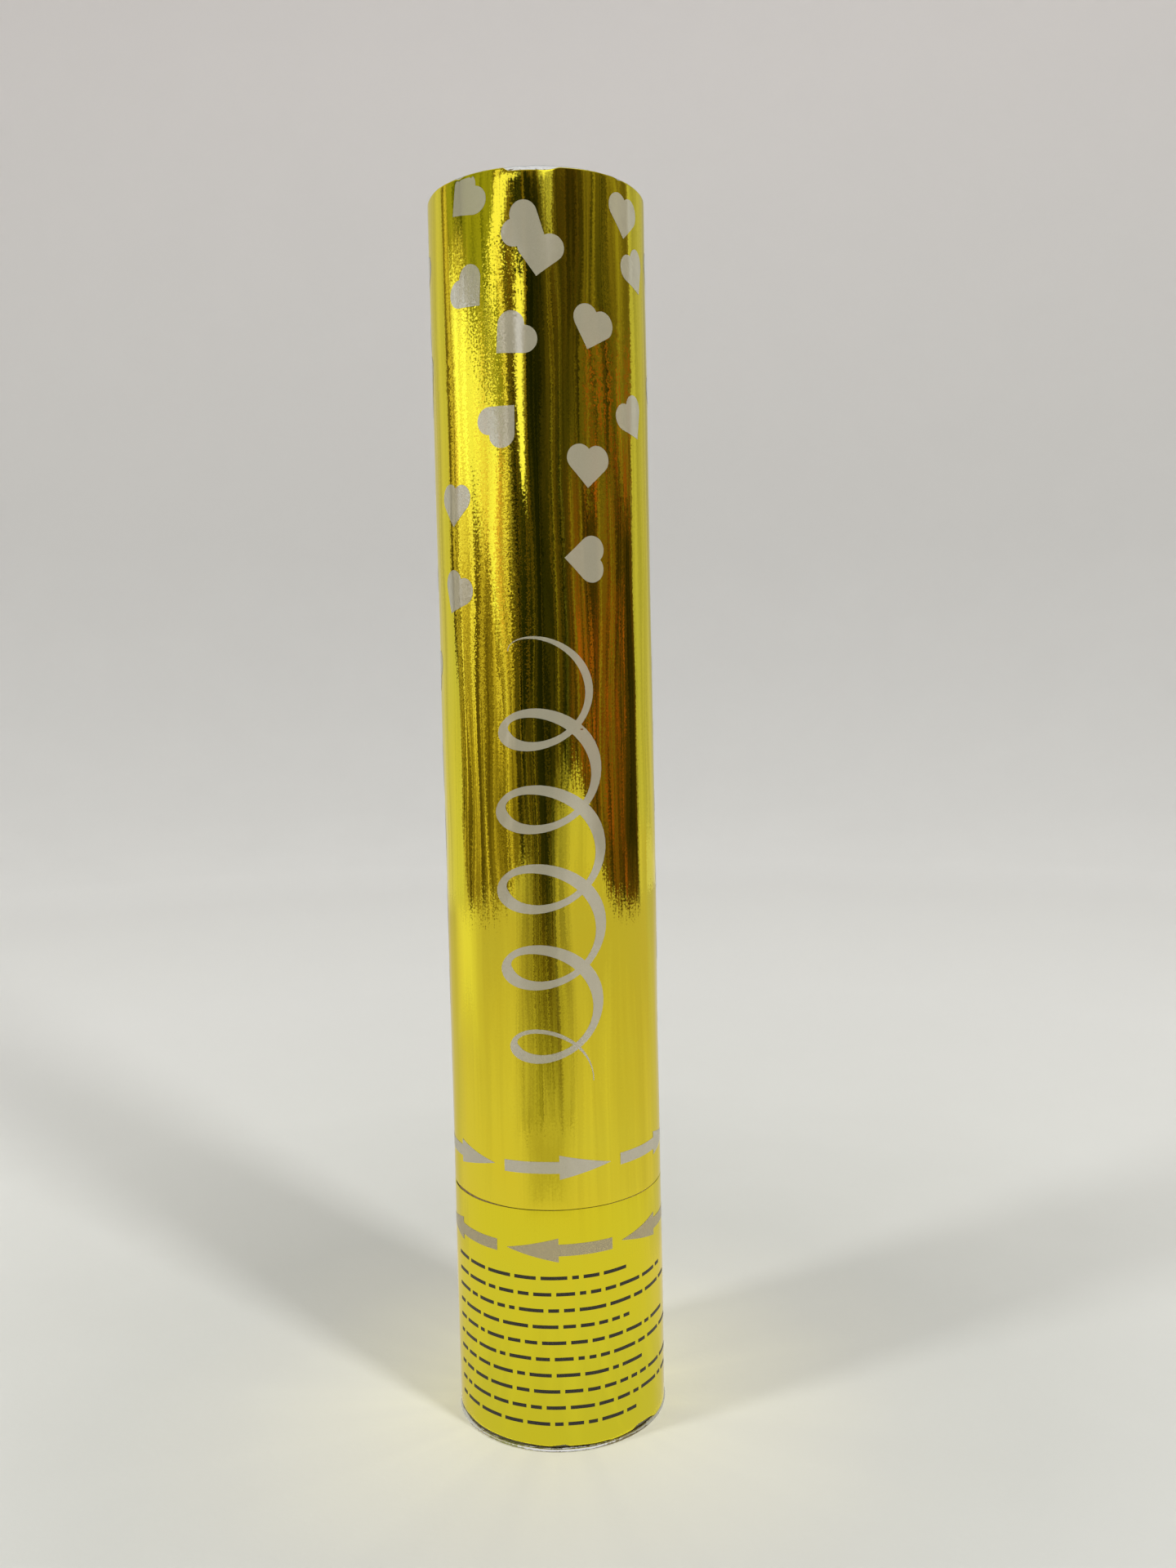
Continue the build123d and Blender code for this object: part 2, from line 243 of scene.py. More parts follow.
def streaks(tree, arc, height, across, along, layer=0.0, detail=2.0):
    """Noise about zero, drawn out up the tube: across and along are its sizes in millimetres, and each layer is
    another pattern."""
    place = vector_of(
        tree, X=sums(tree, "DIVIDE", arc, across), Y=sums(tree, "DIVIDE", height, along), Z=layer
    )
    return sums(tree, "SUBTRACT", grain(tree, place, detail), 0.5)


# %% [markdown]
# ## Stage
# A pale paper sweep goes all the way round, so every side view has the same plain background. Three soft lamps and an
# open, bright top light it. Mirror foil shows what stands round it, so its look is made by what it reflects: a photo
# studio hangs dark and white cards just outside the picture. The cards here are seen only in reflections.

# %% Meshes from rows of points


def link_object(name, mesh):
    """A new object at the origin."""
    made = bpy.data.objects.new(name, mesh)
    scene.collection.objects.link(made)
    return made


def on_tube(angle, radius, height):
    """A point in metres; the angle goes round from the front towards the right."""
    return Vector((radius * math.sin(angle), -radius * math.cos(angle), height)) * MM


def sheet_object(name, rows, joined=False, tubular=False):
    """A smooth sheet through rows of points; joined closes each row, and tubular joins the last row to the first."""
    across = len(rows[0])
    faces = []
    for row in range(len(rows) if tubular else len(rows) - 1):
        here, above = row * across, (row + 1) % len(rows) * across
        for step in range(across if joined else across - 1):
            beside = (step + 1) % across
            faces.append((here + step, here + beside, above + beside, above + step))
    mesh = bpy.data.meshes.new(name)
    mesh.from_pydata([point for row in rows for point in row], [], faces)
    mesh.shade_smooth()
    return link_object(name, mesh)


# %% Shape of the paper sweep
SWEEP_RADIUS = 1250
SWEEP_BEND = 420
SWEEP_HEIGHT = 1500
SWEEP_STEPS = 96
BEND_STEPS = 12

sweep_profile = [(1, 0), (120, 0), (400, 0)]
for step in range(BEND_STEPS + 1):
    bend = step / BEND_STEPS * math.pi / 2
    reach = SWEEP_RADIUS - SWEEP_BEND + SWEEP_BEND * math.sin(bend)
    sweep_profile.append((reach, SWEEP_BEND - SWEEP_BEND * math.cos(bend)))
sweep_profile.append((SWEEP_RADIUS, SWEEP_HEIGHT))
sweep_rows = []
for reach, rise in reversed(sweep_profile):
    sweep_rows.append([on_tube(math.tau * step / SWEEP_STEPS, reach, rise) for step in range(SWEEP_STEPS)])
sweep = sheet_object("sweep", sweep_rows, joined=True)
print("sweep", len(sweep.data.polygons), "faces")

# %% Pale paper
# Places on the sweep are shares of this distance from the tube
RUN_LENGTH = 1600
# Painted light and shade in the tones: yellowish glow by the foot, bright band where floor meets bend, darker bend and
# wall
PAPER_TONES_AND_PAINTED_LIGHT = [
    (0.022, (0.68, 0.67, 0.59)), (0.035, (0.64, 0.635, 0.58)), (0.08, (0.63, 0.638, 0.605)),
    (0.17, (0.75, 0.757, 0.725)), (0.30, (0.82, 0.825, 0.80)), (0.45, (0.855, 0.86, 0.835)),
    (0.52, (0.865, 0.868, 0.845)), (0.585, (0.86, 0.862, 0.84)), (0.66, (0.78, 0.78, 0.76)),
    (0.75, (0.71, 0.707, 0.69)), (0.82, (0.66, 0.653, 0.638)), (0.97, (0.72, 0.694, 0.68)),
]
MOTTLE_SIZE = 60
MOTTLE = 0.03
# Painted light: the paper glows round the foot in soft rays, standing in for the light that the foil throws back
THROWN_LIGHT = [
    (0.016, (0.21, 0.198, 0.115)), (0.02, (0.165, 0.157, 0.095)), (0.03, (0.10, 0.096, 0.062)),
    (0.05, (0.02, 0.0195, 0.016)), (0.07, (0.0, 0.0, 0.0)),
]
THROWN_WIDTH = 9.0
THROWN_LENGTH = 300.0
THROWN_FRAY = 0.018
# The paper under the lamps, out of the picture, is a shade darker, so that it doesn't burn out in side views
LAMP_SHADE = 0.72
LAMPS_FROM = -450
LAMPS_TO = -100
FIBRE_SIZE = 1.5
FIBRE_DEPTH = 0.05

sweep_paper, tree, shader = new_finish("sweep_paper")
run = distance(tree)
away = sums(tree, "DIVIDE", run, RUN_LENGTH)
tone = sums(tree, "ADD", away, sums(tree, "MULTIPLY", flecks(tree, MOTTLE_SIZE), MOTTLE))
ahead = parts_of(tree, object_place(tree, 1))["Y"]
shade = spread(tree, ahead, LAMP_SHADE, 1.0, LAMPS_FROM, LAMPS_TO)
frayed = streaks(tree, round_the_tube(tree)[0], run, THROWN_WIDTH, THROWN_LENGTH, 2.0)
ray = sums(tree, "MULTIPLY_ADD", frayed, THROWN_FRAY, away)
# The base colour is the paper's tint with painted light and shade along the run from the tube
fill(tree, shader, {
    "Base Color": scaled(tree, colour_ramp(tree, tone, PAPER_TONES_AND_PAINTED_LIGHT), shade),
    "Roughness": 0.9,
    "Emission Color": colour_ramp(tree, ray, THROWN_LIGHT),
    "Emission Strength": 1.0,
    "Normal": bump(tree, flecks(tree, FIBRE_SIZE), FIBRE_DEPTH),
})
sweep.data.materials.append(sweep_paper)
print("sweep_paper has", len(tree.nodes), "nodes")

# %% Lamps and open top
WORLD_STRENGTH = 0.395
# Each lamp's place, the point that it faces, its size in metres and its power in watts
LAMPS = {
    "left_lamp": ((-0.895, -0.437, 0.75), (0, 0, 0.1), 0.15, 5.0),
    "right_lamp": ((0.656, -0.755, 0.75), (0, 0, 0.1), 0.15, 7.8),
    "top_lamp": ((0.1, 0.5, 1.35), (0.1, 0.5, 0), 0.8, 2.1),
}

world = bpy.data.worlds.new("open_top")
world.use_nodes = True
world.node_tree.nodes["Background"].inputs["Color"].default_value = (1.0, 0.995, 0.985, 1.0)
world.node_tree.nodes["Background"].inputs["Strength"].default_value = WORLD_STRENGTH
scene.world = world

for name, (place, aim, size, power) in LAMPS.items():
    lamp_data = bpy.data.lights.new(name, "AREA")
    lamp_data.size = size
    lamp_data.energy = power
    lamp = bpy.data.objects.new(name, lamp_data)
    scene.collection.objects.link(lamp)
    lamp.location = place
    lamp.rotation_euler = (Vector(aim) - Vector(place)).to_track_quat("-Z", "Y").to_euler()
    lamp.visible_glossy = False
    print(name, round(Vector(place).length, 2), "m away")

# %% [markdown]
# ## Cards
# A card is a bent or flat sheet of painted glow. Its edges are torn into fine streaks, because rolled foil never
# shows a clean edge, and its paint runs in upright bands and hairs, as the blurred shapes of a room do in foil.

# %% Shapes of cards that only the foil sees
CARD_STEPS = 72
CARD_ROWS = 6
CARD_TOP = 1450


def between(corners, place):
    """The value at a place along straight runs between (place, value) corners."""
    for (start, first), (end, last) in zip(corners, corners[1:]):
        if place <= end:
            return first + (last - first) * max(0.0, (place - start) / (end - start))
    return corners[-1][1]


def along_edge(corners, part):
    """The (degrees, height) point at a part, from 0 to 1, of the way round a card's edge."""
    angle = corners[0][0] + (corners[-1][0] - corners[0][0]) * part
    return angle, between(corners, angle)


def hang(name, rows, material):
    """A card that only reflections show. Each point keeps its place across and up the card, from 0 to 1."""
    made = sheet_object(name, rows)
    places = made.data.attributes.new("place", "FLOAT_VECTOR", "POINT")
    for number, place in enumerate(places.data):
        up, step = divmod(number, CARD_STEPS + 1)
        place.vector = (step / CARD_STEPS, up / CARD_ROWS, 0.0)
    made.data.materials.append(material)
    made.visible_camera = False
    made.visible_diffuse = False
    made.visible_shadow = False
    made.visible_transmission = False


def card(name, material, radius, foot, top):
    """A card bent round the tube; foot and top are (degrees, height) corners of its edges."""
    rows = []
    for up in range(CARD_ROWS + 1):
        part = up / CARD_ROWS
        row = []
        for step in range(CARD_STEPS + 1):
            low, high = along_edge(foot, step / CARD_STEPS), along_edge(top, step / CARD_STEPS)
            angle = low[0] + (high[0] - low[0]) * part
            row.append(on_tube(math.radians(angle), radius, low[1] + (high[1] - low[1]) * part))
        rows.append(row)
    hang(name, rows, material)


def floor_card(name, material, start, end, near, far, level):
    """A flat card, from start to end degrees and from near to far."""
    angles = [math.radians(start + (end - start) * step / CARD_STEPS) for step in range(CARD_STEPS + 1)]
    rows = []
    for up in range(CARD_ROWS + 1):
        reach = far + (near - far) * up / CARD_ROWS
        rows.append([on_tube(angle, reach, level) for angle in angles])
    hang(name, rows, material)


print("a card has", CARD_STEPS * CARD_ROWS, "faces")

# %% Glowing paints
TEAR_WIDTH = 0.7
TEAR_LENGTH = 60.0
TEAR = 1.8
TEAR_LAYER = 8
BAND_LENGTH = 900
BAND_CONTRAST = 1.6
HAIR_LENGTH = 500
HAIR_CONTRAST = 1.3
HAIR_LAYER = 4
HARD = (0.004, 0.004)
RISING = ((0, 0.5), (SWEEP_HEIGHT, 1.0))


def glow(name, soft, layer, tear, bare=0.0):
    """A material that only glows and is torn away along its edges: soft is the share of the card that fades,
    across it and up it, and bare tears the middle too. Returns the material, its tree and the glow's colour."""
    material, tree, _ = new_finish(name)
    tree.nodes.clear()
    light = add_node(tree, "ShaderNodeEmission")
    place = add_node(tree, "ShaderNodeAttribute", attribute_name="place").outputs["Vector"]
    inward = 2.0 - bare
    for socket, share in zip(parts_of(tree, place), soft):
        near_edge = sums(tree, "MINIMUM", socket, sums(tree, "SUBTRACT", 1.0, socket))
        inward = sums(tree, "MINIMUM", inward, sums(tree, "DIVIDE", near_edge, share))
    torn = streaks(tree, *round_the_tube(tree), TEAR_WIDTH, TEAR_LENGTH, layer + TEAR_LAYER)
    edge = add_node(tree, "ShaderNodeClamp", {0: sums(tree, "MULTIPLY_ADD", torn, tear, inward)}).outputs[0]
    clear = add_node(tree, "ShaderNodeBsdfTransparent").outputs[0]
    shown = add_node(tree, "ShaderNodeMixShader", {0: edge, 1: clear, 2: light.outputs[0]}).outputs[0]
    add_node(tree, "ShaderNodeOutputMaterial", {"Surface": shown})
    return material, tree, light.inputs["Color"]


def rays(tree, run, band, hair, layer):
    """Streaks of two widths, in degrees round the tube, drawn out along run."""
    arc = round_the_tube(tree)[0]
    degree = math.radians(1) * wrap_radius
    bands = streaks(tree, arc, run, band * degree, BAND_LENGTH, layer, 3.0)
    hairs = streaks(tree, arc, run, hair * degree, HAIR_LENGTH, layer + HAIR_LAYER, 5.0)
    bands = sums(tree, "MULTIPLY", bands, BAND_CONTRAST)
    return sums(tree, "ADD", bands, sums(tree, "MULTIPLY", hairs, HAIR_CONTRAST))


def wall_paint(name, stops, band, hair, layer, soft=HARD, by_height=RISING, tear=TEAR, bare=0.0):
    """Paint in upright streaks; by_height are (height, tone) steps."""
    material, tree, colour = glow(name, soft, layer, tear, bare)
    height = round_the_tube(tree)[1]
    levels = [(place / SWEEP_HEIGHT, (tone, tone, tone)) for place, tone in by_height]
    level = colour_ramp(tree, sums(tree, "DIVIDE", height, SWEEP_HEIGHT), levels)
    tone = sums(tree, "ADD", level, rays(tree, height, band, hair, layer))
    tree.links.new(colour_ramp(tree, tone, stops), colour)
    return material


def floor_paint(name, stops, reach, band, hair, layer, soft=HARD, contrast=0.4, lean=0.0, tear=TEAR):
    """Paint whose tone runs over reach millimetres from near to far, with rays across it; lean makes one side
    brighter."""
    material, tree, colour = glow(name, soft, layer, tear)
    run = distance(tree)
    tone = spread(tree, run, 0.0, 1.0, *reach)
    tone = sums(tree, "MULTIPLY_ADD", rays(tree, run, band, hair, layer), contrast, tone)
    tone = sums(tree, "MULTIPLY_ADD", round_the_tube(tree)[0], lean, tone)
    tree.links.new(colour_ramp(tree, tone, stops), colour)
    return material


# Colours along the tone from 0 to 1, then the widths of bands and hairs in degrees, and a layer of noise
WALL_PAINTS = {
    "left_wall": dict(
        stops=[
            (0.05, (0.02, 0.018, 0.009)), (0.30, (0.13, 0.095, 0.042)), (0.46, (0.30, 0.235, 0.11)),
            (0.60, (0.75, 0.62, 0.40)), (0.75, (1.0, 0.94, 0.84)), (1.0, (1.2, 1.15, 1.05)),
        ],
        band=6, hair=1.0, layer=0.0, soft=(0.03, 0.008),
        by_height=[(0, 0.36), (100, 0.37), (190, 0.44), (260, 0.50), (300, 0.58), (480, 0.46), (900, 0.36)],
    ),
    "edge_wall": dict(
        stops=[
            (0.3, (0.03, 0.026, 0.012)), (0.5, (0.14, 0.105, 0.045)), (0.65, (0.34, 0.27, 0.13)),
            (0.85, (0.7, 0.6, 0.35)),
        ],
        band=4, hair=0.9, layer=5.0, soft=(0.22, 0.02),
    ),
    "green_wall": dict(
        stops=[(0.2, (0.018, 0.025, 0.006)), (0.5, (0.085, 0.10, 0.024)), (0.8, (0.32, 0.33, 0.10))],
        band=9, hair=1.3, layer=17.0, soft=(0.05, 0.05),
    ),
    "black_room": dict(
        stops=[
            (0.3, (0.005, 0.007, 0.003)), (0.5, (0.014, 0.018, 0.006)), (0.62, (0.05, 0.048, 0.018)),
            (0.74, (0.14, 0.085, 0.04)), (0.9, (0.26, 0.2, 0.09)),
        ],
        band=5, hair=1.1, layer=11.0, soft=(0.1, 0.03),
    ),
    "olive_room": dict(
        stops=[
            (0.15, (0.012, 0.012, 0.005)), (0.4, (0.045, 0.04, 0.016)), (0.6, (0.115, 0.098, 0.042)),
            (0.72, (0.15, 0.11, 0.05)), (0.95, (0.30, 0.26, 0.11)),
        ],
        band=8, hair=1.2, layer=23.0, soft=(0.02, 0.04),
    ),
    "brown_room": dict(
        stops=[
            (0.15, (0.014, 0.010, 0.006)), (0.38, (0.05, 0.032, 0.015)), (0.54, (0.095, 0.062, 0.027)),
            (0.60, (0.20, 0.062, 0.03)), (0.68, (0.13, 0.09, 0.038)), (0.95, (0.28, 0.22, 0.09)),
        ],
        band=8, hair=1.2, layer=27.0, soft=(0.02, 0.008),
    ),
    "dim_room": dict(
        stops=[(0.2, (0.008, 0.007, 0.004)), (0.5, (0.03, 0.024, 0.010)), (0.8, (0.085, 0.05, 0.022))],
        band=5, hair=1.0, layer=29.0, soft=(0.3, 0.15),
    ),
    "white_card": dict(
        stops=[
            (0.05, (0.12, 0.09, 0.04)), (0.17, (0.62, 0.46, 0.28)), (0.27, (0.90, 0.42, 0.28)),
            (0.33, (0.95, 0.62, 0.48)), (0.38, (0.92, 0.90, 0.80)), (0.6, (1.02, 1.05, 0.98)),
            (0.9, (1.7, 1.76, 1.66)),
        ],
        band=6, hair=0.8, layer=31.0, soft=(0.08, 0.2),
        by_height=[(0, 0.42), (240, 0.44), (330, 0.46), (400, 0.54), (470, 0.54), (520, 0.44)],
    ),
    "strip_glow": dict(
        stops=[(0.1, (0.45, 0.40, 0.30)), (0.4, (1.0, 0.97, 0.92)), (0.9, (1.3, 1.28, 1.24))],
        band=9, hair=1.4, layer=37.0, soft=(0.3, 0.1),
    ),
    "red_card": dict(
        stops=[(0.3, (0.16, 0.05, 0.025)), (0.5, (0.28, 0.075, 0.038)), (0.7, (0.38, 0.11, 0.055))],
        band=5, hair=1.2, layer=51.0, soft=(0.15, 0.3), tear=9.0, bare=2.1,
    ),
    "figure": dict(
        stops=[
            (0.25, (0.008, 0.010, 0.005)), (0.45, (0.025, 0.026, 0.010)), (0.6, (0.10, 0.07, 0.033)),
            (0.8, (0.26, 0.235, 0.12)), (1.0, (0.42, 0.385, 0.23)),
        ],
        band=6, hair=1.5, layer=63.0, soft=(0.38, 0.10), tear=1.1,
        by_height=[(0, 0.92), (25, 0.84), (60, 0.66), (95, 0.52), (140, 0.45), (300, 0.42)],
    ),
    "far_mat_glow": dict(
        stops=[(0.1, (0.50, 0.46, 0.37)), (0.5, (0.58, 0.535, 0.43)), (0.9, (0.74, 0.68, 0.55))],
        band=9, hair=2.5, layer=53.0,
    ),
    "right_limb_glow": dict(
        stops=[(0.2, (0.37, 0.365, 0.30)), (0.5, (0.48, 0.475, 0.395)), (0.8, (0.61, 0.60, 0.51))],
        band=12, hair=3.0, layer=95.0, soft=(0.04, 0.02),
        by_height=[(0, 0.72), (120, 0.6), (250, 0.48), (400, 0.40), (1000, 0.38)],
    ),
    "left_limb_glow": dict(
        stops=[(0.2, (0.48, 0.47, 0.41)), (0.5, (0.585, 0.575, 0.49)), (0.8, (0.69, 0.68, 0.57))],
        band=12, hair=3.0, layer=97.0, soft=(0.04, 0.02),
        by_height=[(0, 0.85), (150, 0.62), (400, 0.46), (1000, 0.42)],
    ),
}
FLOOR_PAINTS = {
    "mat_glow": dict(
        stops=[(0.1, (0.69, 0.635, 0.52)), (0.5, (0.61, 0.555, 0.46)), (0.95, (0.55, 0.49, 0.40))],
        reach=(110, 620), band=14, hair=3.5, layer=57.0, soft=(0.03, 0.07), contrast=0.7, lean=0.0035,
    ),
    "left_mat_glow": dict(
        stops=[(0.1, (0.76, 0.735, 0.56)), (0.5, (0.83, 0.805, 0.62)), (0.9, (0.84, 0.815, 0.63))],
        reach=(330, 830), band=12, hair=3, layer=59.0, soft=(0.4, 0.3), tear=0.3,
    ),
    "shade_glow": dict(
        stops=[(0.0, (0.56, 0.52, 0.36)), (0.35, (0.44, 0.40, 0.25)), (0.9, (0.32, 0.285, 0.16))],
        reach=(165, 250), band=6, hair=2, layer=71.0, soft=(0.5, 0.55), tear=0.4,
    ),
    "apron_glow": dict(
        stops=[(0.1, (0.60, 0.575, 0.52)), (0.5, (0.66, 0.63, 0.55)), (0.85, (0.685, 0.635, 0.53))],
        reach=(25, 112), band=26, hair=14, layer=77.0, contrast=0.7,
    ),
    "back_glow": dict(
        stops=[
            (0.2, (0.20, 0.19, 0.15)), (0.42, (0.50, 0.48, 0.42)), (0.55, (0.59, 0.575, 0.51)),
            (0.9, (0.68, 0.665, 0.61)),
        ],
        reach=(-900, 1500), band=10, hair=3, layer=83.0, soft=(0.02, 0.03), contrast=0.8,
    ),
    "back_mat_glow": dict(
        stops=[(0.1, (0.60, 0.57, 0.47)), (0.5, (0.56, 0.53, 0.45)), (0.9, (0.50, 0.475, 0.42))],
        reach=(90, 1100), band=10, hair=3, layer=87.0, soft=(0.01, 0.02), contrast=0.5,
    ),
    "sky_glow": dict(
        stops=[(0.1, (0.95, 0.95, 0.94)), (0.9, (0.80, 0.80, 0.79))],
        reach=(0, 1500), band=10, hair=3, layer=91.0, contrast=0.2,
    ),
}
paints = {name: wall_paint(name, **values) for name, values in WALL_PAINTS.items()}
paints.update({name: floor_paint(name, **values) for name, values in FLOOR_PAINTS.items()})
print("paints:", len(paints))

# %% Hang the cards


def straight(start, end, height=CARD_TOP):
    """An edge at one height, from start to end degrees."""
    return [(start, height), (end, height)]


# Each card's paint, its distance from the tube, and the (degrees, height) corners of its lower and upper edges
CARDS = {
    "left_card": (
        "left_wall", 720,
        [(-117, 300), (-112, 190), (-108, 80), (-101, 14), (-97, 2), (-70, 0), (-55, 10), (-45, 26), (-37, 42),
         (-14, 55)],
        straight(-117, -14),
    ),
    "green_card": ("green_wall", 712, [(-117, 480), (-90, 470), (-60, 395), (-38, 330)], straight(-117, -38)),
    "black_card": ("black_room", 710, [(-35, 50), (23, 95)], straight(-41, 23)),
    "brown_card": (
        "brown_room", 720, [(18, 112), (33, 96), (45, 58), (58, 22), (71, 6), (100, 2), (110, 4)],
        straight(18, 113),
    ),
    "olive_card": ("olive_room", 718, [(18, 310), (113, 300)], straight(18, 113)),
    "dim_card_1": ("dim_room", 714, straight(19, 47, 330), straight(19, 47)),
    "dim_card_2": ("dim_room", 714, [(84, 20), (114, 0)], straight(86, 114, 330)),
    "window_card": (
        "white_card", 700, [(-117, 310), (-75, 300), (-60, 255), (-50, 205), (-37, 215)],
        [(-117, 505), (-94, 488), (-71, 452), (-51, 392), (-37, 340)],
    ),
    "edge_card": ("edge_wall", 690, [(-117, 300), (-112, 180), (-108, 75), (-96, 5)], straight(-117, -112)),
    "strip_card_1": ("strip_glow", 695, straight(-62, -45, 425), straight(-30, -13, 590)),
    "strip_card_2": ("strip_glow", 700, [(5, 500), (11, 465), (18, 510)], straight(6, 19)),
    "strip_card_3": ("strip_glow", 700, [(-22, 310), (-16, 305)], [(-25, 495), (-15, 480)]),
    "red_card_1": ("red_card", 700, [(48, 300), (112, 290)], [(48, 430), (112, 425)]),
    "red_card_2": ("red_card", 700, [(30, 110), (60, 80), (92, 20)], straight(30, 92, 250)),
    "right_limb": ("right_limb_glow", 740, [(111, 60), (172, 20)], straight(111, 172)),
    "left_limb": ("left_limb_glow", 745, straight(-172, -104, -10), straight(-172, -114)),
    "figure_card": (
        "figure", 250, straight(-41, 23, -20), [(-42, 122), (-24, 156), (-14, 182), (-12, 400), (26, 400)],
    ),
    "back_card": ("back_glow", 1180, straight(110, 250, 0), straight(110, 250, 900)),
    "far_mat": ("far_mat_glow", 815, straight(-128, 128, -5), straight(-128, 128, 150)),
}
# Each flat card's paint, the degrees where it starts and ends, its near and far edges, and its height
FLOOR_CARDS = {
    "mat": ("mat_glow", -128, 128, 100, 900, 0.6),
    "left_mat": ("left_mat_glow", -132, -78, 330, 830, 1.0),
    "shade": ("shade_glow", -36, 18, 130, 275, 1.2),
    "apron": ("apron_glow", -180, 180, 26, 180, 0.4),
    "back_mat": ("back_mat_glow", 112, 248, 90, 1150, 0.5),
    "sky": ("sky_glow", -180, 180, 1, 1240, 1480),
}
for name, (glowing, *shape) in CARDS.items():
    card(name, paints[glowing], *shape)
for name, (glowing, *shape) in FLOOR_CARDS.items():
    floor_card(name, paints[glowing], *shape)
print("cards:", len(CARDS) + len(FLOOR_CARDS))

# %% [markdown]
# ## Gold foil
# The wrap is paper with a vacuum-metallised film: a mirror, but one that was rolled on to a paper tube. Its face
# leans a little up or down in hair-fine columns, so a reflected edge that runs across the tube comes out feathered,
# and it swings slowly from side to side, so upright edges waver. A bump node only tilts a face the way its height
# changes, which can't give each column a lean of its own, so the surface normal itself is tilted here.

# %% Foil normal
COLUMN_WIDTH = 0.32
COLUMN_LENGTH = 7.0
COLUMN_LEAN = 0.055
SWAY_WIDTH = 1.4
SWAY_LENGTH = 55.0
SWAY = 0.06
SPARKLE = 0.5
SPARKLE_TILT = 0.06
# Crinkles come in patches, on the upper barrel only
CRINKLE = 1.5
CRINKLE_TILT = 0.52
CRINKLE_PATCH = 26.0
CRINKLE_FROM = 170.0
CRINKLE_FULL = 215.0
# A patch that fingers have scuffed sparkles more than the rest
SCUFF_ARC = -14.0
SCUFF_HALF_WIDTH = 9.0
SCUFF_LEVEL = 222.0
SCUFF_HALF_HEIGHT = 46.0
SCUFF_FRAY = 1.2
SCUFF_FRAY_WIDTH = 5.0
SCUFF_FRAY_LENGTH = 12.0
SCUFF_OUTSIDE = 1.15
SCUFF_INSIDE = 0.75
SCUFF = 2.3


def foil_normal(tree, share=1.0, lean=0.0):
    """The outward normal with the foil's unevenness; share makes it weaker, and lean tips the whole piece."""
    arc, height = round_the_tube(tree)
    outward = add_node(tree, "ShaderNodeNewGeometry").outputs["Normal"]
    up = (0.0, 0.0, 1.0)
    across = vectors(tree, "CROSS_PRODUCT", up, outward)

    patch = streaks(tree, arc, height, CRINKLE_PATCH, CRINKLE_PATCH, 31.0)
    patch = sums(tree, "MULTIPLY", sums(tree, "MAXIMUM", patch, 0.0), CRINKLE_TILT * share)
    patch = sums(tree, "MULTIPLY", patch, spread(tree, height, 0.0, 1.0, CRINKLE_FROM, CRINKLE_FULL))

    aside = sums(tree, "DIVIDE", sums(tree, "SUBTRACT", arc, SCUFF_ARC), SCUFF_HALF_WIDTH)
    above = sums(tree, "DIVIDE", sums(tree, "SUBTRACT", height, SCUFF_LEVEL), SCUFF_HALF_HEIGHT)
    off = sums(tree, "MAXIMUM", sums(tree, "ABSOLUTE", aside), sums(tree, "ABSOLUTE", above))
    frayed = streaks(tree, arc, height, SCUFF_FRAY_WIDTH, SCUFF_FRAY_LENGTH, 44.0)
    off = sums(tree, "MULTIPLY_ADD", frayed, SCUFF_FRAY, off)
    worn = spread(tree, off, 1.0, 1.0 + SCUFF, SCUFF_OUTSIDE, SCUFF_INSIDE)
    sparkle = sums(tree, "MULTIPLY", worn, SPARKLE_TILT * share)

    def tilt(layer, drawn):
        """One direction's tilt: drawn-out streaks, fine sparkle, and crinkles in patches."""
        fine = sums(tree, "MULTIPLY", streaks(tree, arc, height, SPARKLE, SPARKLE, layer), sparkle)
        crinkle = sums(tree, "MULTIPLY", streaks(tree, arc, height, CRINKLE, CRINKLE, layer + 12.0), patch)
        return sums(tree, "ADD", drawn, sums(tree, "ADD", fine, crinkle))

    columns = streaks(tree, arc, height, COLUMN_WIDTH, COLUMN_LENGTH)
    sway = streaks(tree, arc, height, SWAY_WIDTH, SWAY_LENGTH, 3.0)
    upward = tilt(9.0, sums(tree, "MULTIPLY_ADD", columns, COLUMN_LEAN * share, lean))
    sideways = tilt(15.0, sums(tree, "MULTIPLY", sway, SWAY * share))
    leaning = vectors(tree, "ADD", outward, scaled(tree, up, upward))
    return vectors(tree, "NORMALIZE", vectors(tree, "ADD", leaning, scaled(tree, across, sideways)))


# %% Gold finish
FILM_SIZE = 22
HAZE_SIZE = 5
LACQUER = 0.35
BASE_LEAN = -0.03


def gold_finish(name, deep, bright, lean):
    """Metallised gold film on paper; lean tips the whole piece."""
    material, tree, shader = new_finish(name)
    uneven = foil_normal(tree, 1.0, lean)
    fill(tree, shader, {
        "Base Color": colour_ramp(tree, flecks(tree, FILM_SIZE), two_tone(deep, bright)),
        "Metallic": 1.0,
        "Roughness": spread(tree, flecks(tree, HAZE_SIZE), 0.03, 0.08),
        "Specular Tint": (1.0, 0.92, 0.55, 1.0),
        "Coat Weight": LACQUER,
        "Coat Roughness": 0.05,
        "Normal": uneven,
        "Coat Normal": uneven,
    })
    print(name, "has", len(tree.nodes), "nodes")
    return material


barrel_gold = gold_finish("barrel_gold", (0.91, 0.785, 0.03), (0.89, 0.80, 0.04), 0.0)
base_gold = gold_finish("base_gold", (0.895, 0.805, 0.018), (0.87, 0.81, 0.024), BASE_LEAN)

# %% [markdown]
# ## Wraps
# Each half's wrap is one sheet of foil paper, wound once round and glued down on itself at the back, where its cut
# end shows as a step. It is built as that sheet: rows of points from the lower cut edge to the upper one, with a slow
# ripple in the radius, and Solidify gives it the thickness of paper. The foot's edge was trimmed by hand, in nearly
# straight snips, so its height goes along straight runs between corners.

# %% Finished pieces


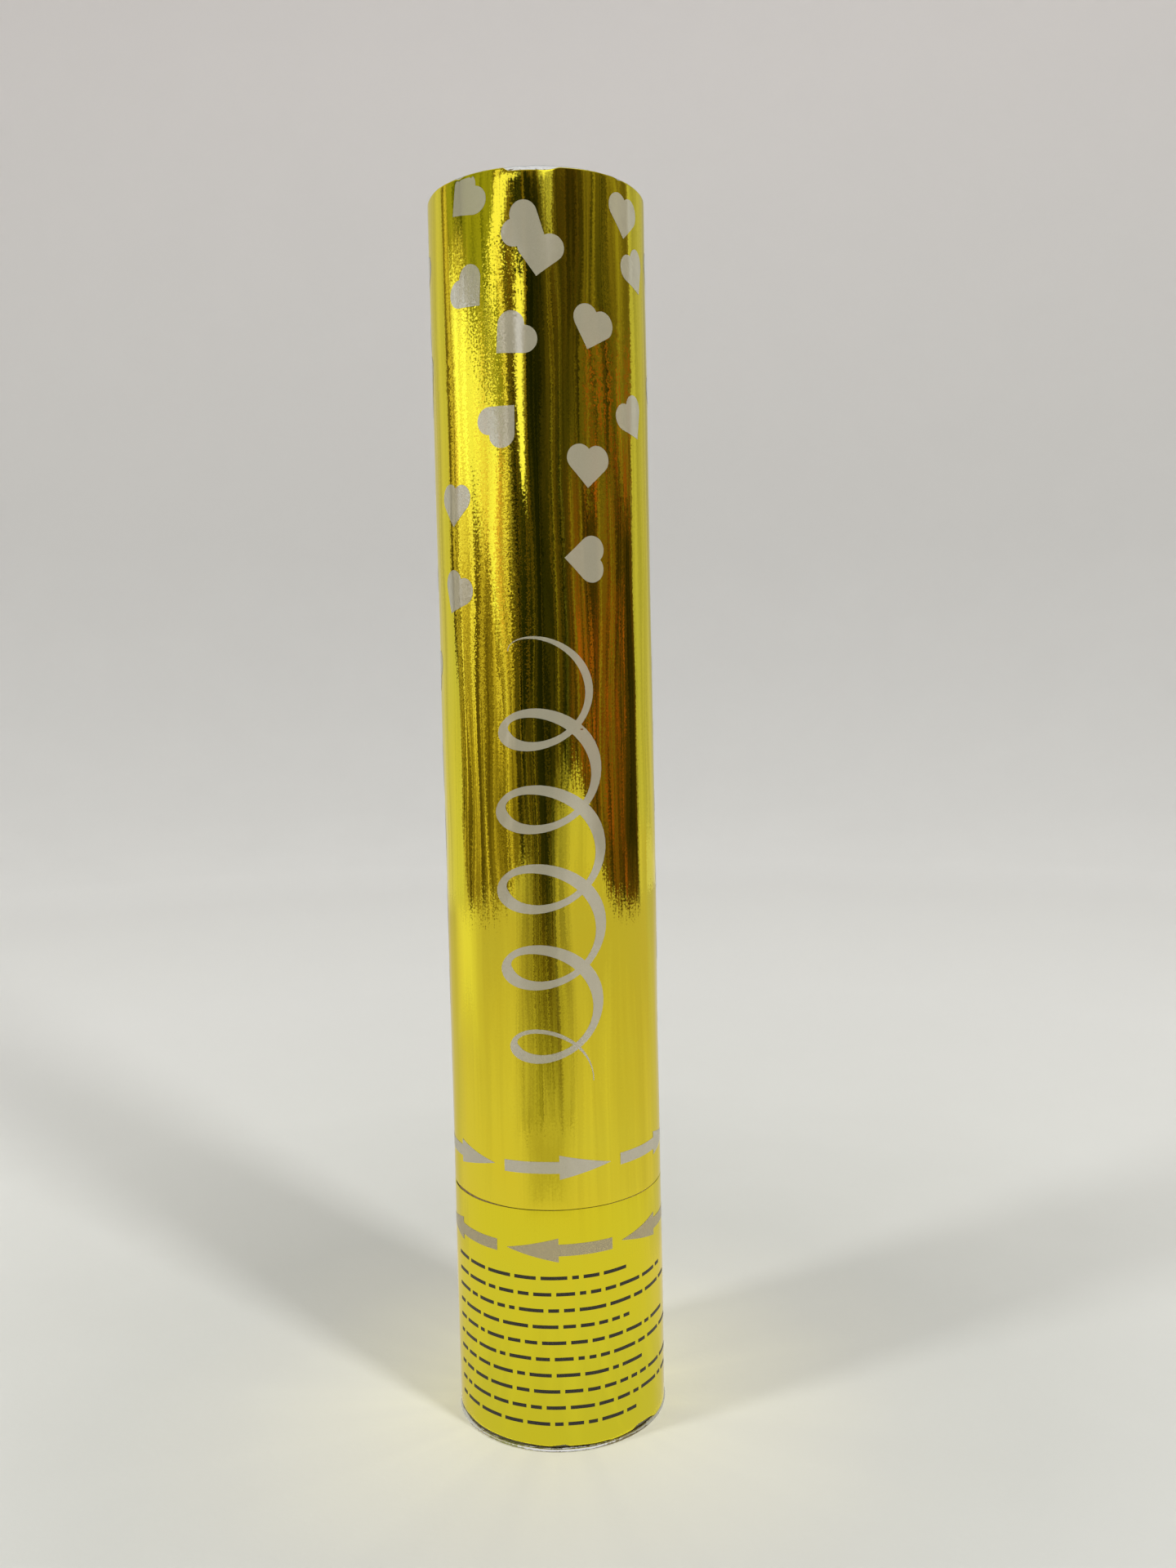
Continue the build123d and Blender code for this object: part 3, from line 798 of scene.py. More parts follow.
def plain_mesh(piece):
    """Make what the modifiers give the object's own mesh, and take them off."""
    graph = bpy.context.evaluated_depsgraph_get()
    made = bpy.data.meshes.new_from_object(
        piece.evaluated_get(graph), preserve_all_data_layers=True, depsgraph=graph
    )
    piece.modifiers.clear()
    piece.data = made
    made.name = piece.name


def thicken(piece, thickness):
    """Give a sheet its thickness, behind its face."""
    skin = piece.modifiers.new("skin", "SOLIDIFY")
    skin.thickness = thickness * MM
    skin.offset = -1.0
    plain_mesh(piece)


def finish_piece(piece, body, slot, material, *replaced):
    """Give a piece its finish and its body, and hide the CAD nodes that it stands for; slot is not used."""
    if material:
        piece.data.materials.clear()
        piece.data.materials.append(material)
    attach(piece, body)
    if replaced:
        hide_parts(*replaced)
    count = sum(len(face.vertices) - 2 for face in piece.data.polygons)
    print(piece.name, "rides on", body, "with", count, "triangles")


# %% Build the wraps
WRAP_STEPS = 300
BARREL_ROWS = 100
BASE_ROWS = 30
WRAP_SKIN = 0.17
LAP_WIDTH = 8.0
LAP_RAMP = 1.2
LAP_GLUE = 0.03
LAP_ANGLE = LAP_WIDTH / wrap_radius
# Each ripple's depth, its sizes round and up the tube, and its layer of noise
RIPPLES = ((0.17, 8, 34, 1.7), (0.035, 3, 50, 6.1))
RIPPLE_SINK = 0.05
# How far the rows at a cut edge are set in from it and sunk; the seam's edges are rolled less
EDGE_ROLL = ((0.0, 0.07), (0.12, 0.015), (0.35, 0.0))
SEAM_ROLL = 0.2


def ripple(angle, height):
    """How far the foil stands off its true radius."""
    arc = angle * wrap_radius
    waves = [deep * noise.noise(Vector((arc / wide, height / tall, layer))) for deep, wide, tall, layer in RIPPLES]
    return sum(waves) - RIPPLE_SINK


def lap_rise(angle):
    """The end of the sheet climbs over its start."""
    climb = (angle - math.pi) * wrap_radius / LAP_RAMP + 1
    return (WRAP_SKIN + LAP_GLUE) * min(1.0, max(0.0, climb))


def wrap_sheet(name, foot_edge, top_edge, row_count, foot_roll=1.0, top_roll=1.0):
    """A sheet of foil paper round the tube; its edges are lists of (degrees, height) corners, and each has its share
    of EDGE_ROLL."""
    angles = [-math.pi + (math.tau + LAP_ANGLE) * step / WRAP_STEPS for step in range(WRAP_STEPS + 1)]
    places = [(0, inset * foot_roll, sink * foot_roll) for inset, sink in EDGE_ROLL]
    places += [(step / row_count, 0.0, 0.0) for step in range(1, row_count)]
    places += [(1, -inset * top_roll, sink * top_roll) for inset, sink in reversed(EDGE_ROLL)]
    rows = []
    for part, inset, sink in places:
        row = []
        for angle in angles:
            turn = (math.degrees(angle) + 180) % 360 - 180
            foot, top = between(foot_edge, turn), between(top_edge, turn)
            level = foot + (top - foot) * part + inset
            row.append(on_tube(angle, wrap_radius + ripple(angle, level) + lap_rise(angle) - sink, level))
        rows.append(row)
    sheet = sheet_object(name, rows)
    thicken(sheet, WRAP_SKIN)
    return sheet


# Corners of the cut edges, as degrees and height; at the seam, as degrees and distance from the CAD edge
FOOT_SNIPS = [
    (-180, 1.5), (-150, 1.2), (-118, 1.6), (-84, 1.7), (-55, 1.8), (-30, 1.7), (-8, 1.45), (0, 1.9), (3, 1.5),
    (24, 1.35), (26, 1.2), (40, 1.3), (44, 2.0), (55, 1.7), (60, 1.0), (95, 1.3), (128, 1.1), (160, 1.6), (180, 1.5),
]
MOUTH_SNIPS = [
    (-180, 284.7), (-120, 284.55), (-60, 284.7), (-44, 284.65), (-42, 284.3), (-38, 284.65), (-15.5, 284.75),
    (-14, 283.95), (-10, 284.0), (5, 283.9), (8, 284.1), (12, 284.6), (44, 284.75), (46.5, 284.35), (49, 284.7),
    (110, 284.6), (180, 284.7),
]
SEAM_NIP = [
    (-180, 0.05), (-110, 0.0), (-62, 0.02), (-28, 0.33), (-5, 0.37), (30, 0.37), (62, 0.27), (100, 0.05), (180, 0.05),
]
BASE_DIP = [
    (-180, 0.05), (-100, 0.1), (-70, 0.3), (-50, 0.12), (-30, 0.02), (0, 0.0), (60, 0.0), (90, 0.1), (180, 0.05),
]
seam_edge = [(angle, barrel_low - nip) for angle, nip in SEAM_NIP]
base_edge = [(angle, base_top - dip) for angle, dip in BASE_DIP]
barrel_foil = wrap_sheet("barrel_foil", seam_edge, MOUTH_SNIPS, BARREL_ROWS, foot_roll=SEAM_ROLL)
base_foil = wrap_sheet("base_foil", FOOT_SNIPS, base_edge, BASE_ROWS, top_roll=SEAM_ROLL)
finish_piece(barrel_foil, "barrel", "gold_wrap", barrel_gold, "barrel_wrap")
finish_piece(base_foil, "base", "gold_wrap", base_gold, "base_wrap")

# %% [markdown]
# ## Print
# Hearts, arrows and a curling streamer are printed on the foil in an opaque, pale, faintly glossy ink. A picture of
# them would go soft close up, so each is a flat motif of real faces. One Geometry Nodes tree prints them all: it puts
# the motif on every point of a flat plan, rolls the plan round the tube, and presses each point on to the foil with a
# ray from outside.

# %% Helpers for Geometry Nodes


def new_tree(name, **inputs):
    """A Geometry Nodes tree with named inputs; returns the tree, its inputs and its output node."""
    tree = bpy.data.node_groups.new(name, "GeometryNodeTree")
    tree.interface.new_socket("Geometry", in_out="INPUT", socket_type="NodeSocketGeometry")
    for label, kind in inputs.items():
        tree.interface.new_socket(label, in_out="INPUT", socket_type="NodeSocket" + kind)
    tree.interface.new_socket("Geometry", in_out="OUTPUT", socket_type="NodeSocketGeometry")
    return tree, tree.nodes.new("NodeGroupInput").outputs, tree.nodes.new("NodeGroupOutput")


def run_tree(name, tree, mesh, **values):
    """Run a tree on a mesh, with its inputs set by their identifiers, and keep the plain mesh that it gives."""
    piece = link_object(name, mesh)
    modifier = piece.modifiers.new(tree.name, "NODES")
    modifier.node_group = tree
    for item in tree.interface.items_tree:
        if item.in_out == "INPUT" and item.name in values:
            modifier[item.identifier] = values[item.name]
    plain_mesh(piece)
    return piece


def shape(tree, kind, inputs=None, **settings):
    """The first output of a Geometry Nodes node."""
    return add_node(tree, "GeometryNode" + kind, inputs, **settings).outputs[0]


def shape_of(tree, item):
    """The geometry of an object."""
    return add_node(tree, "GeometryNodeObjectInfo", {"Object": item}).outputs["Geometry"]


def stored(tree, name, kind="FLOAT"):
    """A stored attribute."""
    return shape(tree, "InputNamedAttribute", {"Name": name}, data_type=kind)


# %% The tree that prints on the tube
print_tree, given, out = new_tree(
    "print_on_tube", Motif="Object", Foil="Object", Radius="Float", Foot="Float", Top="Float", Lift="Float",
    Ink="Material",
)
tree = print_tree
stamped = shape(tree, "InstanceOnPoints", {
    "Points": given["Geometry"],
    "Instance": shape_of(tree, given["Motif"]),
    "Rotation": vector_of(tree, Y=stored(tree, "turn")),
    "Scale": stored(tree, "size", "FLOAT_VECTOR"),
})
flat = shape(tree, "RealizeInstances", {"Geometry": stamped})
plan = parts_of(tree, shape(tree, "InputPosition"))
above = sums(tree, "GREATER_THAN", plan["Z"], given["Top"])
below = sums(tree, "LESS_THAN", plan["Z"], given["Foot"])
off_edge = sums(tree, "MAXIMUM", above, below)
trimmed = shape(tree, "DeleteGeometry", {"Geometry": flat, "Selection": off_edge}, domain="FACE")
level = sums(tree, "MINIMUM", sums(tree, "MAXIMUM", plan["Z"], given["Foot"]), given["Top"])
angle = sums(tree, "DIVIDE", plan["X"], given["Radius"])
backward = sums(tree, "MULTIPLY", sums(tree, "COSINE", angle), -1.0)
outward = vector_of(tree, X=sums(tree, "SINE", angle), Y=backward)
outside = scaled(tree, outward, sums(tree, "MULTIPLY", given["Radius"], 2.0))
ray = add_node(tree, "GeometryNodeRaycast", {
    "Target Geometry": shape_of(tree, given["Foil"]),
    "Source Position": vectors(tree, "ADD", outside, vector_of(tree, Z=level)),
    "Ray Direction": scaled(tree, outward, -1.0),
})
pressed = vectors(tree, "ADD", ray.outputs["Hit Position"], scaled(tree, outward, given["Lift"]))
rolled = shape(tree, "SetPosition", {"Geometry": trimmed, "Position": pressed})
smooth = shape(tree, "SetShadeSmooth", {"Geometry": rolled})
inked = shape(tree, "SetMaterial", {"Geometry": smooth, "Material": given["Ink"]})
tree.links.new(inked, out.inputs[0])
print("print_on_tube:", len(tree.nodes), "nodes")

# %% Inks
INK_CLOUD = 0.18
INK_IOR = 2.8
INK_UNEVEN = 0.8
DOT_SIZE = 0.25


def screen_ink(name, deep, bright):
    """Opaque ink that lies on the foil: faintly glossy, with the foil's unevenness under it."""
    material, tree, shader = new_finish(name)
    cloud = flecks(tree, INK_CLOUD, 2.0)
    fill(tree, shader, {
        "Base Color": colour_ramp(tree, cloud, two_tone(deep, bright)),
        "Roughness": spread(tree, cloud, 0.07, 0.13),
        "IOR": INK_IOR,
        "Normal": foil_normal(tree, INK_UNEVEN),
    })
    return material


pale_ink = screen_ink("pale_ink", (0.35, 0.322, 0.225), (0.385, 0.357, 0.262))
thin_ink = screen_ink("thin_ink", (0.25, 0.195, 0.06), (0.28, 0.225, 0.08))

black_ink, tree, shader = new_finish("black_ink")
dots = flecks(tree, DOT_SIZE, 2.0)
fill(tree, shader, {
    "Base Color": colour_ramp(tree, dots, two_tone((0.008, 0.007, 0.006), (0.03, 0.026, 0.014))),
    "Roughness": spread(tree, dots, 0.35, 0.55),
})
print("inks:", pale_ink.name, thin_ink.name, black_ink.name)

# %% Motifs
HEART_WIDTH = 10.2
HEART_RINGS = 5
STRAIGHT_STEPS = 6
LOBE_STEPS = 14
ARROW_LENGTH = 25.1
ARROW_SHAFT = 2.7
ARROW_HEAD = 5.5
ARROW_NECK = 0.513
ARROW_POINT = 0.03
ARROW_STEPS = 14


def plan_mesh(name, points, faces):
    """A flat mesh in the plan: across the tube is x and up it is z, in millimetres."""
    mesh = bpy.data.meshes.new(name)
    mesh.from_pydata([(x * MM, 0.0, z * MM) for x, z in points], [], faces)
    return mesh


def filled_outline(name, outline, rings):
    """Fill an outline with rings of faces round the middle, so that it can bend with the tube."""
    middle = (0.0, sum(z for _, z in outline) / len(outline))
    count = len(outline)
    points, faces = [], []
    for ring in range(rings):
        share = 1 - ring / rings
        points += [(x * share, middle[1] + (z - middle[1]) * share) for x, z in outline]
    points.append(middle)
    for step in range(count):
        beside = (step + 1) % count
        for ring in range(rings - 1):
            first, inner = ring * count, (ring + 1) * count
            faces.append((first + step, first + beside, inner + beside, inner + step))
        last = (rings - 1) * count
        faces.append((last + step, last + beside, len(points) - 1))
    return plan_mesh(name, points, faces)


def heart_outline(width):
    """A square on its corner with a half circle on each upper side, about the middle of the square."""
    side = width / (1 + math.sqrt(0.5))
    quarter = side / math.sqrt(8)
    right = []
    for step in range(STRAIGHT_STEPS):
        out_and_up = 2 * quarter * step / STRAIGHT_STEPS
        right.append((out_and_up, out_and_up))
    for step in range(LOBE_STEPS):
        bend = math.radians(-45 + 180 * step / LOBE_STEPS)
        right.append((quarter + side / 2 * math.cos(bend), 3 * quarter + side / 2 * math.sin(bend)))
    left = [(-x, z) for x, z in reversed(right[1:])]
    outline = right + [(0.0, 4 * quarter)] + left
    return [(x, z - 2 * quarter) for x, z in outline]


def ribbon_mesh(name, runs):
    """A flat ribbon through runs of stations, each of three points across it."""
    points, faces = [], []
    for stations in runs:
        for step, station in enumerate(stations):
            start = len(points)
            points += station
            if step:
                faces += [(start - 3, start, start + 1, start - 2), (start - 2, start + 1, start + 2, start - 1)]
    return plan_mesh(name, points, faces)


def upright(x, half):
    """A station straight up the plan, half a width either way."""
    return [(x, -half), (x, 0.0), (x, half)]


def arrow_mesh(name):
    """An arrow to the right: a plain shaft, then a long head."""
    neck = ARROW_LENGTH * (ARROW_NECK - 0.5)
    tail = -ARROW_LENGTH / 2
    tip = ARROW_LENGTH / 2
    shaft, head = [], []
    for step in range(ARROW_STEPS + 1):
        part = step / ARROW_STEPS
        shaft.append(upright(tail + (neck - tail) * part, ARROW_SHAFT / 2))
        head.append(upright(neck + (tip - neck) * part, ARROW_HEAD / 2 * (1 - part) + ARROW_POINT))
    return ribbon_mesh(name, [shaft, head])


heart_motif = link_object("heart_motif", filled_outline("heart_motif", heart_outline(HEART_WIDTH), HEART_RINGS))
arrow_motif = link_object("arrow_motif", arrow_mesh("arrow_motif"))
print("heart", len(heart_motif.data.polygons), "faces, arrow", len(arrow_motif.data.polygons), "faces")

# %% Printing from a plan
FULL_SIZE = (1.0, 1.0)
INK_LIFT = 0.03
EDGE_MARGIN = 0.25


def plan_points(name, plan):
    """Points of a plan of (x, z, turn in degrees, size)."""
    mesh = bpy.data.meshes.new(name)
    mesh.from_pydata([(x * MM, 0.0, z * MM) for x, z, _, _ in plan], [], [])
    turns = mesh.attributes.new("turn", "FLOAT", "POINT")
    sizes = mesh.attributes.new("size", "FLOAT_VECTOR", "POINT")
    for number, (_, _, tilt, (wide, tall)) in enumerate(plan):
        turns.data[number].value = math.radians(tilt)
        sizes.data[number].vector = (wide, 1.0, tall)
    return mesh


def printed(name, motif, plan, foil, body, span, ink):
    """Print a motif at every point of a plan on one half's foil."""
    piece = run_tree(
        name, print_tree, plan_points(name + "_plan", plan), Motif=motif, Foil=foil, Radius=wrap_radius * MM,
        Foot=(span[0] + EDGE_MARGIN) * MM, Top=(span[1] - EDGE_MARGIN) * MM, Lift=INK_LIFT * MM, Ink=ink,
    )
    finish_piece(piece, body, "gold_wrap", None)


barrel_span = (barrel_low, barrel_top)
base_span = (base_low, base_top)
print("print spans", barrel_span, base_span)

# %% Hearts
# Hearts on the front, as degrees round, height and turn; those behind are strewn, more of them near the mouth
FRONT_HEARTS = (
    (-39, 279.5, 54), (-4.5, 272, -62), (1, 266, 10), (50.5, 276.5, 5), (-37, 260, -41), (-14.5, 249, 49),
    (27.5, 251, 17), (60.5, 265.5, -30), (-20, 232, -134), (55, 233, -34), (24, 221.5, 3), (-52, 214.5, 8),
    (20, 202, 92), (-53, 195, 29), (-88, 269, 30), (-86, 245, -20),
)
HIDDEN_HEARTS = 34
HIDDEN_ARC = (88, 272)
HIDDEN_TOP = 284
HIDDEN_DROP = 105
HIDDEN_CROWD = 1.5
HEART_GAP = 11.5
LAP_KEEP = 13
MOST_TRIES = 4000
HEART_SEED = 11

heart_plan = [(math.radians(turn) * wrap_radius, level, tilt, FULL_SIZE) for turn, level, tilt in FRONT_HEARTS]
dice = random.Random(HEART_SEED)
tries = 0
while len(heart_plan) < len(FRONT_HEARTS) + HIDDEN_HEARTS and tries < MOST_TRIES:
    tries += 1
    turn = dice.uniform(*HIDDEN_ARC)
    level = HIDDEN_TOP - HIDDEN_DROP * dice.random() ** HIDDEN_CROWD
    tilt = dice.uniform(-180, 180)
    arc = math.radians(turn) * wrap_radius
    spaced = all(math.hypot(arc - x, level - z) > HEART_GAP for x, z, _, _ in heart_plan)
    if spaced and abs(turn - 180) > LAP_KEEP:
        heart_plan.append((arc, level, tilt, FULL_SIZE))
printed("barrel_hearts", heart_motif, heart_plan, barrel_foil, "barrel", barrel_span, pale_ink)
print("hearts:", len(heart_plan))

# %% Arrows either side of the seam
ARROWS_ROUND = 5
ARROW_PERIOD = math.radians(63.8)
UPPER_ARROWS = 66.6
LOWER_ARROWS = 47.5


def arrow_plan(level, tilt):
    """Arrows round the tube, as many as fit beside the lap."""
    arcs = [ARROW_PERIOD * wrap_radius * (step - ARROWS_ROUND // 2) for step in range(ARROWS_ROUND)]
    return [(arc, level, tilt, FULL_SIZE) for arc in arcs]


printed("barrel_arrows", arrow_motif, arrow_plan(UPPER_ARROWS, 0), barrel_foil, "barrel", barrel_span, pale_ink)
printed("base_arrows", arrow_motif, arrow_plan(LOWER_ARROWS, 180), base_foil, "base", base_span, thin_ink)

# %% [markdown]
# ## Streamer and rows of dashes
# The middle of the barrel carries a curling paper streamer, drawn as with a broad pen: thin where the line climbs,
# thick where it falls. The lower base carries rows of plain black dashes. Both go through the same printing tree.

# %% Streamer
STREAMER_LOW = 86.0
STREAMER_CLIMB = 17.5
STREAMER_CURLS = 5.5
STREAMER_STEPS = 260
# The streamers beside the front one are this share of half the way round
STREAMER_ASIDE = 0.62
CURL_HALF_WIDTH = 11.5
CURL_HALF_HEIGHT = 8.5
CURL_SWELL = 0.25
PEN_THIN = 1.5
PEN_THICK = 3.0
PEN_SLANT = 0.6
PEN_TAPER = 8
PEN_END = 0.08


def streamer_mesh(name):
    """A ribbon along a line of open curls, with the width of a broad pen."""
    line = []
    for step in range(STREAMER_STEPS + 1):
        part = step / STREAMER_STEPS
        bend = math.tau * STREAMER_CURLS * part
        swell = 1 - CURL_SWELL + CURL_SWELL * math.sin(math.pi * part)
        x = CURL_HALF_WIDTH * swell * math.cos(bend)
        z = STREAMER_LOW + STREAMER_CLIMB * STREAMER_CURLS * part + CURL_HALF_HEIGHT * swell * math.sin(bend)
        line.append((x, z))
    stations = []
    for step, (x, z) in enumerate(line):
        part = step / STREAMER_STEPS
        before, after = line[max(step - 1, 0)], line[min(step + 1, STREAMER_STEPS)]
        way = math.atan2(after[1] - before[1], after[0] - before[0])
        taper = max(PEN_END, min(1.0, PEN_TAPER * part, PEN_TAPER * (1 - part)))
        half = (PEN_THIN + (PEN_THICK - PEN_THIN) * math.sin(way - PEN_SLANT) ** 2) / 2 * taper
        side = (-math.sin(way) * half, math.cos(way) * half)
        stations.append([(x - side[0], z - side[1]), (x, z), (x + side[0], z + side[1])])
    return ribbon_mesh(name, [stations])


streamer_motif = link_object("streamer_motif", streamer_mesh("streamer_motif"))
streamer_arc = math.pi * wrap_radius * STREAMER_ASIDE
streamer_plan = [(x, 0.0, 0, FULL_SIZE) for x in (0.0, streamer_arc, -streamer_arc)]
printed("barrel_streamer", streamer_motif, streamer_plan, barrel_foil, "barrel", barrel_span, pale_ink)

# %% Rows of dashes
DASH_ROWS = 10
DASH_TOP = 41.0
DASH_PITCH = 3.8
DASH_HEIGHT = 0.8
DASH_LENGTHS = (1.4, 6.5)
DASH_GAP = 1.1
DASH_REACH = 31.0
DASH_STEPS = 6
DASH_SEED = 5
# Every third row ends early, at a share of the reach
SHORT_EVERY = 3
SHORT_ENDS = (0.1, 0.7)

dash_stations = [upright(-0.5 + step / DASH_STEPS, 0.5) for step in range(DASH_STEPS + 1)]
dash_motif = link_object("dash_motif", ribbon_mesh("dash_motif", [dash_stations]))
dice = random.Random(DASH_SEED)
dash_plan = []
for row in range(DASH_ROWS):
    end = DASH_REACH if row % SHORT_EVERY else DASH_REACH * dice.uniform(*SHORT_ENDS)
    x = -DASH_REACH
    while x < end:
        length = dice.uniform(*DASH_LENGTHS)
        dash_plan.append((x + length / 2, DASH_TOP - row * DASH_PITCH, 0, (length, DASH_HEIGHT)))
        x += length + DASH_GAP
printed("base_dashes", dash_motif, dash_plan, base_foil, "base", base_span, black_ink)
for motif in (heart_motif, arrow_motif, streamer_motif, dash_motif):
    bpy.data.objects.remove(motif)
print("dashes:", len(dash_plan))

# %% [markdown]
# ## Silver foil
# Thin aluminium foil closes both ends. It was folded over the rim by hand, so it is full of small pleats, and only a
# hair's width of it shows past the gold. The rim, the torn-out disc and the foot are separate pieces, because the disc
# flies off with the confetti. The pleats are real shape: a ridge function of the angle moves the points.

# %% Silver finish
CREASE_SIZE = 1.3
CREASE_CELL = 2.2
CREASE_SHARE = 0.7
CREASE_DEPTH = 0.12
# Heights of a painted shade line under the gold's cut edge, each with its darkness
PAINTED_SHADE_LINE = ((1.0, 0.0), (1.12, 1.0), (1.5, 1.0), (1.9, 0.4))
SHADE_LINE_SPAN = 4.0
SHADE_LINE_WAVER = 0.3
SHADE_LINE_WAVER_SIZE = 2.5
SHADE_LINE_COLOUR = (0.15, 0.142, 0.085, 1.0)
RIM_LEAN = 0.45
FOOT_LEAN = 1.25


def silver_finish(name, lean, lined):
    """Creased aluminium foil; lean tips its face upwards, and lined paints a dark line of shade under the gold's edge.
    """
    material, tree, shader = new_finish(name)
    crease = flecks(tree, CREASE_SIZE)
    colour = colour_ramp(tree, crease, two_tone((0.78, 0.775, 0.76), (0.90, 0.90, 0.89)))
    height_of_folds = sums(
        tree, "ADD", cells(tree, CREASE_CELL, "DISTANCE_TO_EDGE"), sums(tree, "MULTIPLY", crease, CREASE_SHARE)
    )
    normal = bump(tree, height_of_folds, CREASE_DEPTH)
    # Painted shade: a dark band on the foil just under the gold's cut edge
    if lined:
        arc, height = round_the_tube(tree)
        waver = streaks(tree, arc, height, SHADE_LINE_WAVER_SIZE, SHADE_LINE_WAVER_SIZE)
        level = sums(tree, "MULTIPLY_ADD", waver, SHADE_LINE_WAVER, height)
        stops = [(place / SHADE_LINE_SPAN, (dark, dark, dark)) for place, dark in PAINTED_SHADE_LINE]
        line = colour_ramp(tree, sums(tree, "DIVIDE", level, SHADE_LINE_SPAN), stops)
        mix = {"Factor": line, 6: colour, 7: SHADE_LINE_COLOUR}
        colour = add_node(tree, "ShaderNodeMix", mix, data_type="RGBA").outputs[2]
    if lean:
        downward = sums(tree, "MINIMUM", parts_of(tree, normal)["Z"], 0.0)
        amount = sums(tree, "MULTIPLY_ADD", downward, lean, lean)
        if lined:
            amount = sums(tree, "MULTIPLY", amount, sums(tree, "LESS_THAN", height, PAINTED_SHADE_LINE[0][0]))
        normal = vectors(tree, "NORMALIZE", vectors(tree, "ADD", normal, vector_of(tree, Z=amount)))
    roughness = spread(tree, crease, 0.07, 0.20)
    fill(tree, shader, {"Base Color": colour, "Metallic": 1.0, "Roughness": roughness, "Normal": normal})
    print(name, "has", len(tree.nodes), "nodes")
    return material


silver_foil = silver_finish("silver_foil", 0.0, False)
rim_silver = silver_finish("rim_silver", RIM_LEAN, False)
foot_silver = silver_finish("foot_silver", FOOT_LEAN, True)

# %% Folds and crumples of foil
FOIL_STEPS = 480
FOIL_SKIN = 0.06
DISC_RINGS = 44
PLEAT = 0.09
PLEAT_LEVEL = 0.6
PLEAT_RISE = 0.6
# How close the folds are, how sharp, and the share of each kind
FOLDS = ((19, 2.2, 0.6), (6, 2.0, 0.4))
# The size of the creases and the share of each kind
CREASES = ((4.5, 0.6), (1.9, 0.4))
CREASE_SHARP = 3


def pleat(angle, layer):
    """Sharp small folds along the angle, from 0 to 1."""
    place = Vector((math.cos(angle), math.sin(angle), layer))
    return max(0.0, sum(share * (1 - abs(noise.noise(place * close)) * sharp) for close, sharp, share in FOLDS))


def crumple(point, layer):
    """Creases of flattened foil, from -1 to 1."""
    place = Vector((point[0], point[1], layer))
    return sum(share * (1 - CREASE_SHARP * abs(noise.noise(place / size))) for size, share in CREASES)


def foil_ring(profile, layer):
    """Foil folded along a profile of (radius, height, share of the pleats) stations."""
    angles = [math.tau * step / FOIL_STEPS for step in range(FOIL_STEPS)]
    rows = []
    for radius, height, share in profile:
        folds = [PLEAT * share * (pleat(angle, layer) - PLEAT_LEVEL) for angle in angles]
        rows.append([
            on_tube(angle, radius + fold, height + fold * PLEAT_RISE) for angle, fold in zip(angles, folds)
        ])
    return rows


def foil_disc(radius, level, depth, layer):
    """Rows of a crumpled disc of foil, from its edge to its middle; level is its flat face."""
    rows = []
    for ring in range(DISC_RINGS + 1):
        reach = radius * (1 - ring / DISC_RINGS)
        row = []
        for step in range(FOIL_STEPS):
            point = on_tube(math.tau * step / FOIL_STEPS, reach, 0) / MM
            row.append(Vector((point.x, point.y, level + depth * crumple(point, layer))) * MM)
        rows.append(row)
    return rows


def thin_foil(piece):
    """Close the middle of a disc and give the foil its thickness."""
    form = bmesh.new()
    form.from_mesh(piece.data)
    bmesh.ops.remove_doubles(form, verts=form.verts, dist=1e-6)
    form.to_mesh(piece.data)
    form.free()
    thicken(piece, FOIL_SKIN)


# %% Mouth rim, burst disc and foot
RIM_PROFILE = [
    (24.60, 278.0, 0), (24.66, 283.2, 0), (24.70, 283.9, 0.5), (24.74, 284.3, 1), (24.72, 284.6, 1),
    (24.60, 284.84, 1), (24.35, 284.97, 1), (23.9, 285.0, 0.7), (23.4, 284.97, 0.6), (23.1, 284.93, 0.4),
    (23.06, 284.86, 0), (23.5, 284.86, 0), (24.2, 284.86, 0), (24.52, 284.6, 0), (24.55, 278.0, 0),
]
FOOT_PROFILE = [
    (23.6, 0.05, 0.2), (24.2, 0.06, 0.5), (24.75, 0.1, 0.8), (25.06, 0.2, 1), (25.12, 0.42, 1), (25.05, 0.85, 1),
    (24.92, 1.0, 1), (24.66, 1.12, 0.6), (24.58, 1.4, 0.2), (24.58, 2.0, 0), (24.62, 3.0, 0), (24.60, 9.5, 0),
]
# Each disc's radius, the level of its face and the depth of its crumples
BURST_DISC = (22.8, 284.93, 0.06)
FOOT_DISC = (23.0, 0.05, 0.03)
RIM_LAYER = 1.0
BURST_LAYER = 3.3
FOOT_LAYER = 7.0

mouth_rim = sheet_object("mouth_rim", foil_ring(RIM_PROFILE, RIM_LAYER), joined=True, tubular=True)
finish_piece(mouth_rim, "barrel", "silver_foil", rim_silver, "mouth_foil_rim")

burst_disc = sheet_object("burst_disc", foil_disc(*BURST_DISC, BURST_LAYER), joined=True)
thin_foil(burst_disc)
finish_piece(burst_disc, "charge", "silver_foil", silver_foil, "burst_foil")

foot_rows = foil_disc(*FOOT_DISC, FOOT_LAYER)[::-1] + foil_ring(FOOT_PROFILE, FOOT_LAYER)
foot_cup = sheet_object("foot_cup", foot_rows, joined=True)
thin_foil(foot_cup)
finish_piece(foot_cup, "base", "silver_foil", foot_silver, "foot_foil")

# %% [markdown]
# ## Confetti
# The charge is four stacks of paper slips in each of three layers. A stack is a line of points with a slip on each
# one, shifted and turned a little by a fixed seed, then bent in a slow wave so that the paper looks handled.

# %% The tree that stacks slips
SLIP_ROWS = 8
WAVE_RATE = 90.0
WAVE_SHIFT = 2.0

slip_tree, given, out = new_tree(
    "slip_stack", Slips="Int", Pitch="Float", Size="Vector", Corner="Vector", Shift="Float", Turn="Float",
    Wave="Float", Seed="Int", Paper="Material",
)


